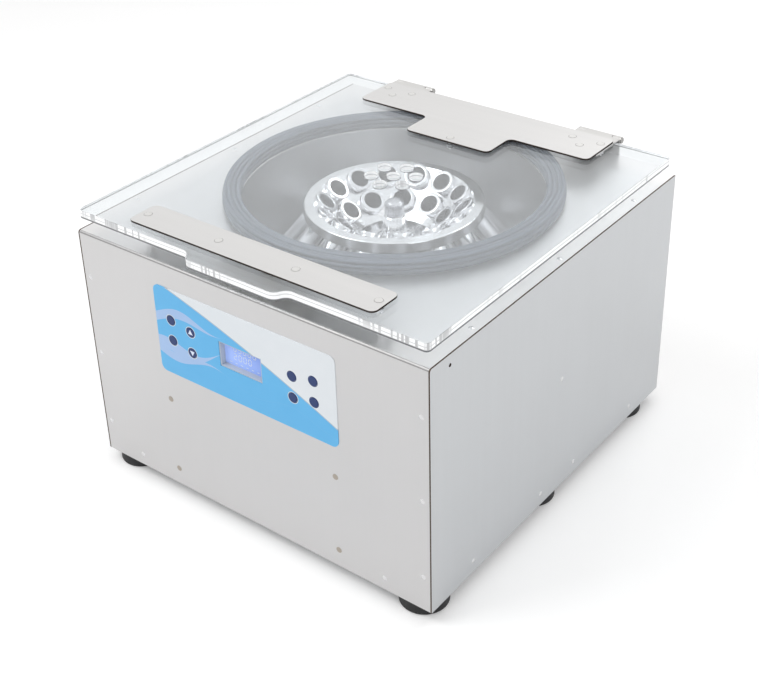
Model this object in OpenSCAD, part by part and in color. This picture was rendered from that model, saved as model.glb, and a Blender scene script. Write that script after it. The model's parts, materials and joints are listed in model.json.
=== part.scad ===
// Bench centrifuge for butterfat tubes: a square sheet cabinet with a round bowl, a dish
// rotor with two rows of inclined tube sleeves, and a clear lid hinged at the rear.
// Millimetres. X runs to the right, Y to the rear, Z up, and the feet stand on Z = 0.

/* [Cabinet] */
// Width across the two side plates
body_w = 560; // [520:1:640]
// Depth from the front face to the rear face
body_d = 577; // [560:1:660]
// Height of the cabinet sheets
body_h = 350; // [340:1:420]
// Thickness of the front, top, rear and base sheets
sheet_t = 1.5; // [1:0.1:2.5]
// Thickness of the flat side plates
side_t = 2; // [1.5:0.1:4]
// Outer radius of the fold along the front top edge
fold_r = 4; // [2.5:0.5:10]
// Height of the rubber feet
foot_h = 17; // [10:1:40]
// Diameter of a rubber foot
foot_d = 64; // [40:1:70]
// Diameter of a rivet head
rivet_d = 7; // [5:0.5:9]
// Height of a rivet head
rivet_h = 1.2; // [0.8:0.1:2.5]

/* [Lid] */
// How far the lid's sides lie inside the side plates' faces
lid_side = 3.5; // [0:0.5:12]
// How far the lid's rear edge lies in front of the rear face
lid_rear = 11.4; // [8:0.2:20]
// Thickness of the clear lid
lid_t = 12; // [6:0.5:20]
// How far the lid's front edge lies behind the cabinet's front face
lid_back = 1.6; // [0:0.1:10]
// Radius of the lid's corners
lid_r = 6; // [2:0.5:20]
// How far the pull tab stands out in front of the cabinet
tab_out = 14; // [8:0.5:25]
// Half width of the tab at the lid's edge
tab_base = 87; // [80:1:110]
// Half width of the tab at its front
tab_front = 62; // [50:1:70]
// Diameter of a vent hole in the lid
vent_d = 18.4; // [8:0.2:24]
// Distance of the outer vent holes from the middle one
vent_pitch = 30; // [24:0.5:40]
// Length of the front steel strip
strip_w = 390; // [300:1:480]
// Depth of the front steel strip
strip_d = 50; // [36:1:70]
// Thickness of the strip and of the hinge plate
plate_t = 2.5; // [1.5:0.1:5]
// Depth of the T-shaped hinge plate's cross bar
tee_d = 77; // [64:1:90]
// Width of the hinge plate's tongue
tongue_w = 140; // [80:1:200]
// Depth of the hinge plate's tongue
tongue_d = 55; // [30:1:70]
// Diameter of the flush stud heads in the plates
stud_d = 10.4; // [8:0.2:14]

/* [Hinges] */
// Distance of each hinge's middle from the centre line
hinge_x = 160; // [130:1:180]
// Length of a hinge
hinge_w = 66; // [58:1:80]
// Thickness of a hinge leaf, which also spaces the plates off the lid
leaf_t = 2; // [1.5:0.1:4]
// Radius of a hinge barrel
barrel_r = 5; // [4.6:0.1:7]
// Radius of a hinge pin
pin_r = 3; // [2:0.1:3.2]

/* [Bowl] */
// How far the rotor's axis lies behind the middle of the cabinet
axis_shift = 22.5; // [10:0.5:28]
// Inner radius of the bowl
bowl_r = 205; // [203:0.5:208]
// Depth of the bowl below the top sheet
bowl_deep = 178; // [165:1:190]
// Height of the ring gasket, and so of the gap under the lid
gasket_h = 19; // [12:0.5:30]
// Radial width of the ring gasket without its ribs
gasket_w = 20; // [14:0.5:24]
// Radius of a gasket rib
rib_r = 2.6; // [1.5:0.1:4]

/* [Rotor] */
// Inner radius of the dish's flat rim
rim_in_r = 108; // [106:1:112]
// Radial width of the flat rim
rim_w = 14; // [10:0.5:24]
// Depth of the rim's top below the cabinet's top
rim_drop = 13; // [8:0.5:25]
// Thickness of the flat rim
rim_t = 4; // [3:0.5:8]
// Height of the band that hangs from the rim's outer edge
skirt_h = 14; // [8:0.5:15]
// Thickness of that band
skirt_t = 3.4; // [2:0.1:4]
// Wall of the cone, measured square to it
cone_t = 5; // [4:0.5:8]
// Number of sleeves in the outer row
outer_n = 14; // [8:1:14]
// Number of sleeves in the inner row
inner_n = 10; // [6:1:10]
// Distance of the outer mouths from the axis
outer_r = 91; // [90:0.5:92]
// Distance of the inner mouths from the axis
inner_r = 66.2; // [65.8:0.1:66.6]
// Height of the mouths' centres above the cone
mouth_up = 11.3; // [10:0.1:14]
// Lean of the sleeves from upright
tilt = 39.5; // [36:0.5:44]
// Radius of a sleeve's bore
bore_r = 12.3; // [11:0.1:12.4]
// Wall of a sleeve
tube_wall = 2; // [1.5:0.1:2.1]
// Length of a sleeve
sleeve_l = 145; // [120:1:150]
// Radius of the ribbed centre knob
knob_r = 13; // [10:0.5:16]
// Height of the knob
knob_h = 20; // [16:0.5:26]

/* [Keypad] */
// Width of the keypad overlay
pad_w = 294; // [276:1:330]
// Height of the keypad overlay
pad_h = 129; // [100:1:140]
// Distance of the overlay's upper edge below the cabinet's top
pad_down = 34.5; // [32:0.5:44]
// Width of the display window
window_w = 70; // [60:1:90]
// Height of the display window
window_h = 36.5; // [33:0.5:50]
// Depth of the display behind the front face
window_deep = 8; // [4:0.5:12]
// Radius of a key
key_r = 6.4; // [5:0.1:8]
// Travel of a key
key_travel = 0.5; // [0.3:0.1:1]

/* [Part to show] */
// Name of one sub-part, or all

/* [Hidden] */
$fn = 96;
clr = 0.1;
run = 0.05;
front_y = -(body_d + 2*barrel_r - tab_out)/2;
rear_y = front_y + body_d;
axis_y = front_y + body_d/2 + axis_shift;
base_z = foot_h;
top_z = base_z + body_h;
in_x = body_w/2 - side_t;
lid_z = top_z + gasket_h;
lid_top = lid_z + lid_t;
plate_z = lid_top + leaf_t;
lid_w = body_w - 2*lid_side;
lid_d = body_d - lid_back - lid_rear;
lid_y = front_y + lid_back;
flank_n = 10;
lid_far = lid_y + lid_d;
hinge_y = rear_y + barrel_r;
hinge_z = plate_z - barrel_r;
hinge_off = [hinge_z - 44, hinge_z - 66];
// Rivets: columns on the front, the row along the base, the side and the top
front_cols = [51, 165, 283];
front_col_x = body_w/2 - 12;
base_row = 18;
front_base_x = body_w/2 - 70;
side_base_y = [89, 247, 331, 488];
side_mid = [289, 177];
top_rows = [96, body_d/2, body_d - 99];
top_rivet_x = body_w/2 - 11;
angle_w = 20;
tray_h = 30;
hole_r = 1.7;
// Flush studs on the front that carry the power unit
power_x = 139;
power_z = [26, 140.5];
power_stud_r = 4.1;
power_shank_r = 2.5;
// Small access hole in the right side plate
access_at = [38, 336];
access_r = 2.4;
// Feet
foot_x = body_w/2 - foot_d/2 - 2;
foot_rows = [foot_d/2, body_d/2 - 9, body_d - 54];
// Strip and hinge plate
strip_y = front_y + 13;
stud_wide = strip_w/2 - 11.5;
strap_stud = 61.5;
strip_studs = [-stud_wide, -strap_stud, strap_stud, stud_wide];
strip_stud_y = strip_y + strip_d/2;
plate_r = 9;
tee_w = 2*hinge_x + hinge_w;
tee_y = lid_far - 2 - tee_d;
tongue_y = tee_y - tongue_d;
tongue_stud_y = tongue_y + 12;
leaf_stud_dx = 22;
leaf_stud_y = [rear_y - 54, rear_y - 35];
shank_r = 3;
strap_t = 2;
nut_h = 5;
nut_af = 10;
stud_low = lid_z - strap_t - nut_h - 1;
leaf_y = rear_y - 66;
knuckle_l = hinge_w - 26;
knuckle_gap = 0.5;
leaf_drop = 78;
leaf_screw_r = 2;
screw_r = 4;
// Catch and lock
strap_y = [front_y + 28, front_y + 62];
catch_y = front_y + 57;
catch_t = 3;
catch_w = 24;
catch_down = 17;
slot_at = [front_y + 52, front_y + 65.5];
slot_w = 30;
lock_y = [front_y + 12, front_y + 50];
lock_w = 46;
lock_h = 30;
bolt_r = 4;
eye_r = bolt_r + 1.2;
bolt_z = top_z - 9.5;
// Bowl, motor and mounts
bowl_t = 1.5;
bowl_corner = 22;
bowl_flange = 20;
bowl_z = top_z - bowl_deep;
bowl_hole_r = 36;
cover_hole_r = bowl_r + 1;
mount_h = 40;
mount_r = 16;
mount_at = 105;
plate_w = 250;
mplate_t = 6;
mplate_z = base_z + sheet_t + mount_h;
motor_r = 72;
motor_z = mplate_z + mplate_t;
motor_top = bowl_z - 24.5;
boss_r = 30;
boss_h = 16;
// Rotor
rim_z = top_z - rim_drop;
rim_r = rim_in_r + rim_w;
floor_r = 51;
floor_z = rim_z - (rim_in_r - floor_r);
floor_t = 6;
hub_r = 20;
hub_top_r = 14;
hub_foot_r = 34;
hub_foot_h = 8;
hub_top = rim_z - 23;
spindle_r = 10;
stud_r = 6;
stud_top = hub_top + 13;
washer_t = 1.6;
knob_z = hub_top + washer_t + 0.3;
knob_bore = 14;
tube_r = bore_r + tube_wall;
neck_r = tube_r + 1;
flange_r = neck_r + 1.9;
neck_l = 19;
flange_t = 4;
outer_a0 = 209.6;
inner_a0 = 225.2;
// Keypad and display
pad_t = 0.9;
pad_r = 9;
pad_z = top_z - pad_down - pad_h/2;
window_x = -4;
key_at = [[-120.5, 18.5], [-120.5, -11.7], [-87, 12.5], [-87, -18.3],
  [79.5, 12.5], [79.5, -18.3], [112.5, 18.5], [112.5, -11.7]];
key_t = 0.8;
key_out = 1.3;
stem_r = 2.5;
board_y = front_y + 16;
board_t = 1.6;
board_w = pad_w - 14;
board_h = pad_h - 7;
switch_h = 6;
frame_w = 1.6;
glass_t = 3;
digit_h = 8.5;
digit_w = 4.6;
seg_w = 0.9;
seg_t = 0.3;
// Rear fittings
slots_x = 215;
slots_z = 235;
slots_step = 11;
slots_h = 60;
inlet_at = [176, 62];
inlet_w = 30;
inlet_h = 46;
inlet_deep = 26;
drawer_w = 22;
drawer_h = 10;
rocker_at = [118, 62];
rocker_w = 21;
rocker_h = 29;
pivot_r = 1.5;
pivot_l = 8.2;
rocker_tilt = -10;
fan_at = [-150, 118];
fan_screw_l = 14;
fan_w = 92;
fan_deep = 25;
fan_r = 42;
fan_hub_r = 17;
blade_n = 7;
fan_screw_r = 1.8;
fan_screw_at = 41;
guard_l = 126;

steel = [0.82, 0.82, 0.8];
dark = [0.12, 0.12, 0.13];

// A plate outline with round corners, from its lower left corner
module round_rect(w, d, r) {
  translate([r, 0]) square([w - 2*r, d]);
  translate([0, r]) square([w, d - 2*r]);
  for (x = [r, w - r], y = [r, d - r]) translate([x, y]) circle(r);
}

// A block centred in X and Z on a point of a wall, from y0 to y1
module wall_block(x, z, w, h, y0, y1) {
  translate([x - w/2, y0, z - h/2]) cube([w, y1 - y0, h]);
}

// A round bar along Y from y0 to y1
module wall_bar(x, z, r, y0, y1) {
  translate([x, y0, z]) rotate([-90, 0, 0]) cylinder(r = r, h = y1 - y0);
}

// Side outline of the cabinet, drawn in Y and Z, drawn in by t all round
module side_outline(t) {
  r = fold_r - t;
  translate([front_y + t, base_z - 1]) square([body_d + 1, body_h + 1 - fold_r]);
  translate([front_y + fold_r, base_z - 1]) square([body_d, body_h + 1 - t]);
  translate([front_y + fold_r, top_z - fold_r]) circle(r);
}

// Turns an outline drawn in Y and Z into a piece w wide, from x0
module along_x(x0, w) {
  translate([x0, 0, 0]) rotate([90, 0, 90]) linear_extrude(w) children();
}

// A blind rivet on the plane Z = 0, domed head up, holding grip of sheet below
module rivet(grip) {
  rotate_extrude() {
    intersection() {
      translate([0, rivet_h - 6]) circle(6);
      square([rivet_d/2, rivet_h]);
    }
    translate([0, -grip]) square([hole_r - clr, grip]);
    translate([0, -grip - 1.4]) square([hole_r + 1, 1.4]);
  }
}

// Puts its child, made on Z = 0, on the front face at each front rivet
module on_front() {
  for (s = [-1, 1]) {
    for (z = front_cols) {
      translate([s*front_col_x, front_y, base_z + z]) rotate([90, 0, 0]) children();
    }
    translate([s*front_base_x, front_y, base_z + base_row]) rotate([90, 0, 0]) children();
  }
}

// Puts its child on the rear face, in the same places
module on_rear() {
  for (s = [-1, 1]) {
    for (z = front_cols) {
      translate([s*front_col_x, rear_y, base_z + z]) rotate([-90, 0, 0]) children();
    }
    translate([s*front_base_x, rear_y, base_z + base_row]) rotate([-90, 0, 0]) children();
  }
}

// Puts its child on one side plate, s = 1 for the right, at each side rivet
module on_side(s) {
  for (y = side_base_y) {
    translate([s*body_w/2, front_y + y, base_z + base_row]) rotate([0, s*90, 0]) children();
  }
  translate([s*body_w/2, front_y + side_mid[0], base_z + side_mid[1]])
    rotate([0, s*90, 0]) children();
}

// Puts its child on the top at each top rivet
module on_top() {
  for (s = [-1, 1], y = top_rows) translate([s*top_rivet_x, front_y + y, top_z]) children();
}

// A drill for the rivets, through whatever lies behind the surface
module rivet_drill() {
  translate([0, 0, -6]) cylinder(r = hole_r, h = 8);
}

module base_tray() {
  color(steel) difference() {
    translate([-in_x + clr, front_y + sheet_t + clr, base_z])
      cube([2*in_x - 2*clr, body_d - 2*sheet_t - 2*clr, tray_h]);
    translate([-in_x + clr + sheet_t, front_y + 2*sheet_t + clr, base_z + sheet_t])
      cube([2*in_x - 2*clr - 2*sheet_t, body_d - 4*sheet_t - 2*clr, tray_h]);
    on_front() rivet_drill();
    on_rear() rivet_drill();
    for (s = [-1, 1]) on_side(s) rivet_drill();
    for (s = [-1, 1], y = foot_rows) {
      translate([s*foot_x, front_y + y, base_z - 1]) cylinder(r = shank_r + clr, h = 4);
    }
    for (s = [-1, 1]) {
      wall_bar(s*power_x, base_z + power_z[0], power_shank_r + clr, front_y, front_y + 8);
    }
    for (i = [-4:4]) translate([i*26 - 5, front_y + 120, base_z - 1]) cube([10, 60, 4]);
  }
}

module cover_sheet() {
  w = 2*in_x - 2*clr;
  color(steel) difference() {
    along_x(-w/2, w) difference() {
      intersection() {
        side_outline(0);
        translate([front_y, base_z]) square([body_d, body_h]);
      }
      side_outline(sheet_t);
    }
    on_front() rivet_drill();
    on_top() rivet_drill();
    translate([0, axis_y, top_z - 5]) cylinder(r = cover_hole_r, h = 10, $fn = 180);
    translate([-slot_w/2, slot_at[0], top_z - 5]) cube([slot_w, slot_at[1] - slot_at[0], 10]);
    wall_block(window_x, pad_z, window_w, window_h, front_y - 2, front_y + 4);
    for (s = [-1, 1], z = power_z) {
      wall_bar(s*power_x, base_z + z, power_stud_r + clr, front_y - 2, front_y + 4);
    }
    for (k = key_at) wall_bar(k[0], pad_z + k[1], stem_r + 0.6, front_y - 2, front_y + 4);
  }
}

module side_plate(s) {
  color(steel) difference() {
    along_x(s > 0 ? in_x : -body_w/2, side_t) intersection() {
      side_outline(0);
      translate([front_y, base_z]) square([body_d, body_h]);
    }
    on_side(s) rivet_drill();
    if (s > 0) {
      translate([in_x - 1, front_y + access_at[0], base_z + access_at[1]])
        rotate([0, 90, 0]) cylinder(r = access_r, h = side_t + 2);
    }
  }
}

module side_left() {
  side_plate(-1);
}

module side_right() {
  side_plate(1);
}

module rear_panel() {
  y0 = rear_y - sheet_t;
  color(steel) difference() {
    translate([-in_x + clr, y0, base_z]) cube([2*in_x - 2*clr, sheet_t, body_h - sheet_t - clr]);
    wall_block(inlet_at[0], base_z + inlet_at[1], inlet_w - 4, inlet_h - 4, y0 - 2, y0 + 4);
    wall_block(rocker_at[0], base_z + rocker_at[1], rocker_w - 3, rocker_h - 3, y0 - 2, y0 + 4);
    wall_bar(fan_at[0], base_z + fan_at[1], fan_r, y0 - 2, y0 + 4);
    for (s = [-1, 1], i = [-3:3]) {
      wall_block(s*slots_x + i*slots_step, base_z + slots_z, 5, slots_h, y0 - 2, y0 + 4);
    }
    for (s = [-1, 1]) hinge_screws_at(s) wall_bar(0, 0, leaf_screw_r + clr, -6, 3);
    at_fan_screws() wall_bar(0, 0, fan_screw_r + clr, -3, 3);
    on_rear() rivet_drill();
  }
}

module corner_angles() {
  z0 = base_z + tray_h + clr;
  z1 = top_z - sheet_t - angle_w - clr;
  x = in_x - clr;
  y_in = [front_y + sheet_t + clr, rear_y - sheet_t - clr];
  y_top = front_y + fold_r + clr;
  color(steel) difference() {
    union() {
      for (s = [-1, 1]) {
        for (k = [0, 1]) {
          t = k == 0 ? 1 : -1;
          y = y_in[k];
          translate([s*x - (s > 0 ? angle_w : 0), y - (t > 0 ? 0 : sheet_t), z0])
            cube([angle_w, sheet_t, z1 - z0]);
          translate([s*x - (s > 0 ? sheet_t : 0), y - (t > 0 ? 0 : angle_w), z0])
            cube([sheet_t, angle_w, z1 - z0]);
        }
        translate([s*x - (s > 0 ? sheet_t : 0), front_y + side_mid[0] - 12, z0])
          cube([sheet_t, 24, z1 - z0]);
        translate([s*x - (s > 0 ? angle_w : 0), y_top, z1 + angle_w - sheet_t])
          cube([angle_w, y_in[1] - y_top, sheet_t]);
        translate([s*x - (s > 0 ? sheet_t : 0), y_top, z1])
          cube([sheet_t, y_in[1] - y_top, angle_w]);
      }
    }
    on_front() rivet_drill();
    on_rear() rivet_drill();
    on_top() rivet_drill();
    for (s = [-1, 1]) on_side(s) rivet_drill();
  }
}

module body_rivets() {
  color([0.9, 0.9, 0.9]) {
    on_front() rivet(2*sheet_t + clr);
    on_rear() rivet(2*sheet_t + clr);
    for (s = [-1, 1]) on_side(s) rivet(side_t + sheet_t + clr);
    on_top() rivet(2*sheet_t + clr);
  }
}

module power_studs() {
  color([0.62, 0.58, 0.54]) for (s = [-1, 1], z = power_z) {
    wall_bar(s*power_x, base_z + z, power_stud_r, front_y - 0.2, front_y + sheet_t);
    wall_bar(s*power_x, base_z + z, power_shank_r, front_y + sheet_t, front_y + 14);
  }
}

module feet() {
  color(dark) for (s = [-1, 1], y = foot_rows) {
    translate([s*foot_x, front_y + y, 0]) difference() {
      rotate_extrude() {
        square([foot_d/2 - 3, foot_h]);
        translate([0, 3]) square([foot_d/2, foot_h - 3]);
        translate([foot_d/2 - 3, 3]) circle(3);
      }
      translate([0, 0, -1]) cylinder(r = 9, h = foot_h - 4);
      cylinder(r = shank_r + clr, h = foot_h + 1);
    }
  }
}

module foot_screws() {
  color([0.75, 0.75, 0.76]) for (s = [-1, 1], y = foot_rows) {
    translate([s*foot_x, front_y + y, foot_h - 5]) {
      translate([0, 0, -1.5]) cylinder(r = 8, h = 1.5);
      translate([0, 0, -5]) cylinder(r = 5.5, h = 3.6);
      cylinder(r = shank_r, h = 12);
      translate([0, 0, 5 + sheet_t]) cylinder(r = nut_af/2/cos(30), h = nut_h, $fn = 6);
    }
  }
}

// Half section of the bowl's inside, drawn out by t
module bowl_section(t) {
  r = bowl_r + t;
  c = bowl_corner + t;
  translate([0, bowl_z - t]) square([r - c, bowl_deep + t]);
  translate([0, bowl_z + bowl_corner]) square([r, bowl_deep - bowl_corner]);
  translate([r - c, bowl_z + bowl_corner]) circle(c);
}

module bowl() {
  top = top_z - sheet_t;
  color([0.75, 0.76, 0.78]) translate([0, axis_y, 0]) rotate_extrude($fn = 180) {
    difference() {
      intersection() {
        union() {
          bowl_section(bowl_t);
          translate([0, top - bowl_t]) square([bowl_r + bowl_flange, bowl_t]);
        }
        square([bowl_r + bowl_flange, top]);
      }
      intersection() {
        bowl_section(0);
        square([bowl_r, top + 9]);
      }
      translate([0, bowl_z - 9]) square([bowl_hole_r, 20]);
    }
    translate([bowl_hole_r, bowl_z - bowl_t]) square([bowl_t, 8 + bowl_t]);
  }
}

module bowl_gasket() {
  g0 = bowl_r + 1;
  g1 = g0 + gasket_w;
  hi = gasket_h - rib_r - 0.3;
  color([0.5, 0.54, 0.6]) translate([0, axis_y, top_z]) rotate_extrude($fn = 180) {
    translate([g0, 0]) square([gasket_w, hi]);
    translate([g1 - 1, 0]) square([3.4, 2.2]);
    for (r = [g0 + 0.5, (g0 + g1)/2 - 3.2, (g0 + g1)/2 + 3.4, g1 - 1.6]) {
      translate([r, hi]) circle(rib_r);
    }
    for (z = [5, 10.6]) translate([g1, z]) circle(rib_r);
    for (z = [4.4, 10.2]) translate([g0, z]) circle(rib_r);
  }
}

module bowl_boot() {
  color(dark) translate([0, axis_y, 0]) rotate_extrude() {
    polygon([[boss_r, motor_top + 1], [boss_r + 5, motor_top + 1], [boss_r + 5, bowl_z - 12],
      [bowl_hole_r + 8, bowl_z - bowl_t - 2], [bowl_hole_r + 8, bowl_z - bowl_t],
      [bowl_hole_r - 1, bowl_z - bowl_t], [boss_r, bowl_z - 12]]);
  }
}

module motor_body() {
  color([0.25, 0.27, 0.3]) translate([0, axis_y, 0]) difference() {
    union() {
      translate([0, 0, motor_z]) cylinder(r = motor_r, h = motor_top - motor_z);
      translate([0, 0, motor_top]) cylinder(r = boss_r, h = boss_h);
      for (a = [0:15:345]) {
        rotate(a) translate([motor_r - 1, -1.5, motor_z + 12])
          cube([7, 3, motor_top - motor_z - 24]);
      }
    }
    translate([0, 0, motor_z + 20]) cylinder(r = spindle_r + run, h = motor_top - motor_z);
  }
}

module motor_plate() {
  color([0.7, 0.7, 0.7]) difference() {
    translate([-plate_w/2, axis_y - plate_w/2, mplate_z]) linear_extrude(mplate_t)
      round_rect(plate_w, plate_w, 14);
    for (x = [-1, 1], y = [-1, 1]) {
      translate([x*mount_at, axis_y + y*mount_at, mplate_z - 1]) cylinder(r = 4.2, h = 9);
    }
  }
}

module isolators() {
  color(dark) for (x = [-1, 1], y = [-1, 1]) {
    translate([x*mount_at, axis_y + y*mount_at, base_z + sheet_t]) rotate_extrude() {
      difference() {
        square([mount_r, mount_h]);
        translate([mount_r + 9, mount_h/2]) circle(14);
      }
      translate([0, mount_h]) square([4, mplate_t + 4]);
    }
  }
}

module spindle() {
  color([0.72, 0.72, 0.74]) translate([0, axis_y, 0]) {
    translate([0, 0, motor_z + 30]) cylinder(r = spindle_r, h = hub_top - motor_z - 30);
    translate([0, 0, hub_top]) cylinder(r = stud_r, h = stud_top - hub_top);
  }
}

// Puts its child, made with its mouth on Z = 0 and its axis upright, at each sleeve
module at_row(n, r, a0) {
  for (i = [0:n - 1]) {
    translate([0, axis_y, rim_z - rim_in_r + r + mouth_up]) rotate(a0 - i*360/n)
      translate([r, 0, 0]) rotate([0, -tilt, 0]) children();
  }
}

module rotor_dish() {
  down = cone_t/cos(45);
  color([0.9, 0.9, 0.92]) difference() {
    translate([0, axis_y, 0]) rotate_extrude($fn = 180) {
      polygon([[hub_r + clr, floor_z], [floor_r, floor_z], [rim_in_r, rim_z],
        [rim_r - rim_t/2, rim_z], [rim_r - rim_t/2, rim_z - rim_t],
        [rim_in_r + down - rim_t, rim_z - rim_t],
        [floor_r + down - floor_t, floor_z - floor_t], [hub_r + clr, floor_z - floor_t]]);
      translate([rim_r - rim_t/2, rim_z - rim_t/2]) circle(rim_t/2);
      translate([rim_r - skirt_t, rim_z - skirt_h]) square([skirt_t, skirt_h - rim_t/2]);
    }
    at_row(outer_n, outer_r, outer_a0)
      translate([0, 0, -40]) cylinder(r = neck_r + clr, h = 60);
    at_row(inner_n, inner_r, inner_a0)
      translate([0, 0, -40]) cylinder(r = neck_r + clr, h = 60);
  }
}

module sleeve() {
  rotate_extrude() difference() {
    union() {
      translate([0, -flange_t]) square([flange_r, flange_t]);
      translate([0, -neck_l]) square([neck_r, neck_l]);
      translate([0, tube_r - sleeve_l]) square([tube_r, sleeve_l - tube_r]);
      intersection() {
        translate([0, tube_r - sleeve_l]) circle(tube_r);
        translate([0, -sleeve_l]) square([tube_r, tube_r]);
      }
    }
    translate([0, tube_r - sleeve_l]) square([bore_r, sleeve_l]);
    intersection() {
      translate([0, tube_r - sleeve_l]) circle(bore_r);
      translate([0, -sleeve_l]) square([bore_r, tube_r + 1]);
    }
  }
}

module outer_sleeves() {
  color([0.93, 0.93, 0.94]) at_row(outer_n, outer_r, outer_a0) sleeve();
}

module inner_sleeves() {
  color([0.93, 0.93, 0.94]) at_row(inner_n, inner_r, inner_a0) sleeve();
}

module rotor_hub() {
  color([0.85, 0.85, 0.87]) translate([0, axis_y, 0]) rotate_extrude() difference() {
    union() {
      translate([0, floor_z - floor_t - hub_foot_h]) square([hub_foot_r, hub_foot_h]);
      translate([0, floor_z - floor_t]) square([hub_r, floor_t]);
      polygon([[0, floor_z], [hub_r + 6, floor_z], [hub_r, floor_z + 4],
        [hub_top_r, floor_z + 16], [hub_top_r, hub_top - 1.5], [hub_top_r - 1.5, hub_top],
        [0, hub_top]]);
    }
    square([spindle_r + run/5, hub_top + 1]);
  }
}

module knob_washer() {
  color([0.8, 0.8, 0.82]) translate([0, axis_y, hub_top]) difference() {
    cylinder(r = knob_r - 1, h = washer_t);
    translate([0, 0, -1]) cylinder(r = stud_r + 0.3, h = washer_t + 2);
  }
}

module rotor_knob() {
  band = knob_h*0.62;
  color([0.86, 0.86, 0.88]) translate([0, axis_y, knob_z]) difference() {
    union() {
      cylinder(r = knob_r, h = band);
      rotate_extrude() intersection() {
        translate([0, knob_h - 15.5]) circle(15.5);
        translate([0, band]) square([knob_r - 1, knob_h]);
      }
    }
    for (a = [0:15:345]) {
      rotate(a) translate([knob_r + 0.3, 0, 1.5]) cylinder(r = 1.3, h = band - 3, $fn = 24);
    }
    translate([0, 0, -1]) cylinder(r = stud_r + run, h = knob_bore + 1);
  }
}

// Outline of the lid with its pull tab, drawn from the lid's front edge.
// Each flank of the tab is two equal arcs that meet half way, one bulging and one hollow.
module lid_outline() {
  out = tab_out + lid_back;
  r = (pow(tab_base - tab_front, 2) + out*out)/(4*out);
  step = 2*atan2(out, tab_base - tab_front)/flank_n;
  bulge = [for (i = [0:flank_n]) [tab_front + r*sin(i*step), r - out - r*cos(i*step)]];
  hollow = [for (i = [1:flank_n]) let (a = (flank_n - i)*step) [tab_base - r*sin(a), r*cos(a) - r]];
  flank = concat(bulge, hollow, [[tab_base, 2]]);
  last = len(flank) - 1;
  mirrored = [for (i = [0:last]) [-flank[last - i][0], flank[last - i][1]]];
  translate([-lid_w/2, 0]) round_rect(lid_w, lid_d, lid_r);
  polygon(concat(flank, mirrored));
}

// Places of the studs of the strip and of the hinge plate
module at_strip_studs() {
  for (x = strip_studs) translate([x, strip_stud_y, 0]) children();
}

module at_leaf_studs() {
  for (s = [-1, 1]) {
    for (k = [-1, 1]) {
      translate([s*hinge_x + k*leaf_stud_dx, leaf_stud_y[1], 0]) children();
    }
    translate([s*hinge_x, leaf_stud_y[0], 0]) children();
  }
}

module at_all_studs() {
  at_strip_studs() children();
  at_leaf_studs() children();
  translate([0, tongue_stud_y, 0]) children();
}

module lid_sheet() {
  color([0.85, 0.92, 0.95, 0.35]) difference() {
    translate([0, lid_y, lid_z]) linear_extrude(lid_t) lid_outline();
    translate([0, axis_y, lid_z - 1]) {
      cylinder(r = vent_d/2, h = lid_t + 2);
      for (a = [30:60:330]) {
        rotate(a) translate([vent_pitch, 0, 0]) cylinder(r = vent_d/2, h = lid_t + 2);
      }
    }
    translate([0, 0, lid_z - 1]) at_all_studs() cylinder(r = shank_r + 2.5*clr, h = lid_t + 2);
  }
}

module front_strip() {
  color(steel) difference() {
    translate([-strip_w/2, strip_y, plate_z]) linear_extrude(plate_t)
      round_rect(strip_w, strip_d, plate_r);
    translate([0, 0, plate_z - 1]) at_strip_studs() cylinder(r = stud_d/2, h = plate_t + 2);
  }
}

module hinge_plate() {
  color(steel) difference() {
    translate([0, 0, plate_z]) linear_extrude(plate_t) {
      translate([-tee_w/2, tee_y]) round_rect(tee_w, tee_d, plate_r);
      translate([-tongue_w/2, tongue_y]) round_rect(tongue_w, tongue_d + tee_d/2, plate_r);
      for (s = [-1, 1]) scale([s, 1]) translate([tongue_w/2, tee_y - plate_r]) difference() {
        translate([-1, 0]) square([plate_r + 1, plate_r + 1]);
        translate([plate_r, 0]) circle(plate_r);
      }
    }
    translate([0, 0, plate_z - 1]) {
      at_leaf_studs() cylinder(r = stud_d/2, h = plate_t + 2);
      translate([0, tongue_stud_y, 0]) cylinder(r = stud_d/2, h = plate_t + 2);
    }
  }
}

module lid_studs() {
  color([0.78, 0.77, 0.75]) at_all_studs() {
    translate([0, 0, plate_z]) cylinder(r = stud_d/2 - run, h = plate_t + 0.15);
    translate([0, 0, stud_low]) cylinder(r = shank_r, h = plate_z - stud_low);
  }
}

// Whether a strip stud also holds the catch's strap
function strapped(x) = abs(x) <= strap_stud;

module nut() {
  difference() {
    cylinder(r = nut_af/2/cos(30), h = nut_h, $fn = 6);
    translate([0, 0, -1]) cylinder(r = shank_r + run, h = nut_h + 2);
  }
}

module lid_nuts() {
  color([0.8, 0.8, 0.8]) {
    for (x = strip_studs) {
      translate([x, strip_stud_y, lid_z - nut_h - (strapped(x) ? strap_t : 0)]) nut();
    }
    translate([0, 0, lid_z - nut_h]) {
      at_leaf_studs() nut();
      translate([0, tongue_stud_y, 0]) nut();
    }
  }
}

module plate_spacers() {
  color([0.93, 0.93, 0.92]) {
    at_strip_studs() spacer();
    translate([0, tongue_stud_y, 0]) spacer();
  }
}

module spacer() {
  translate([0, 0, lid_top]) difference() {
    cylinder(r = 7, h = leaf_t);
    translate([0, 0, -1]) cylinder(r = shank_r + run, h = leaf_t + 2);
  }
}

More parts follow.
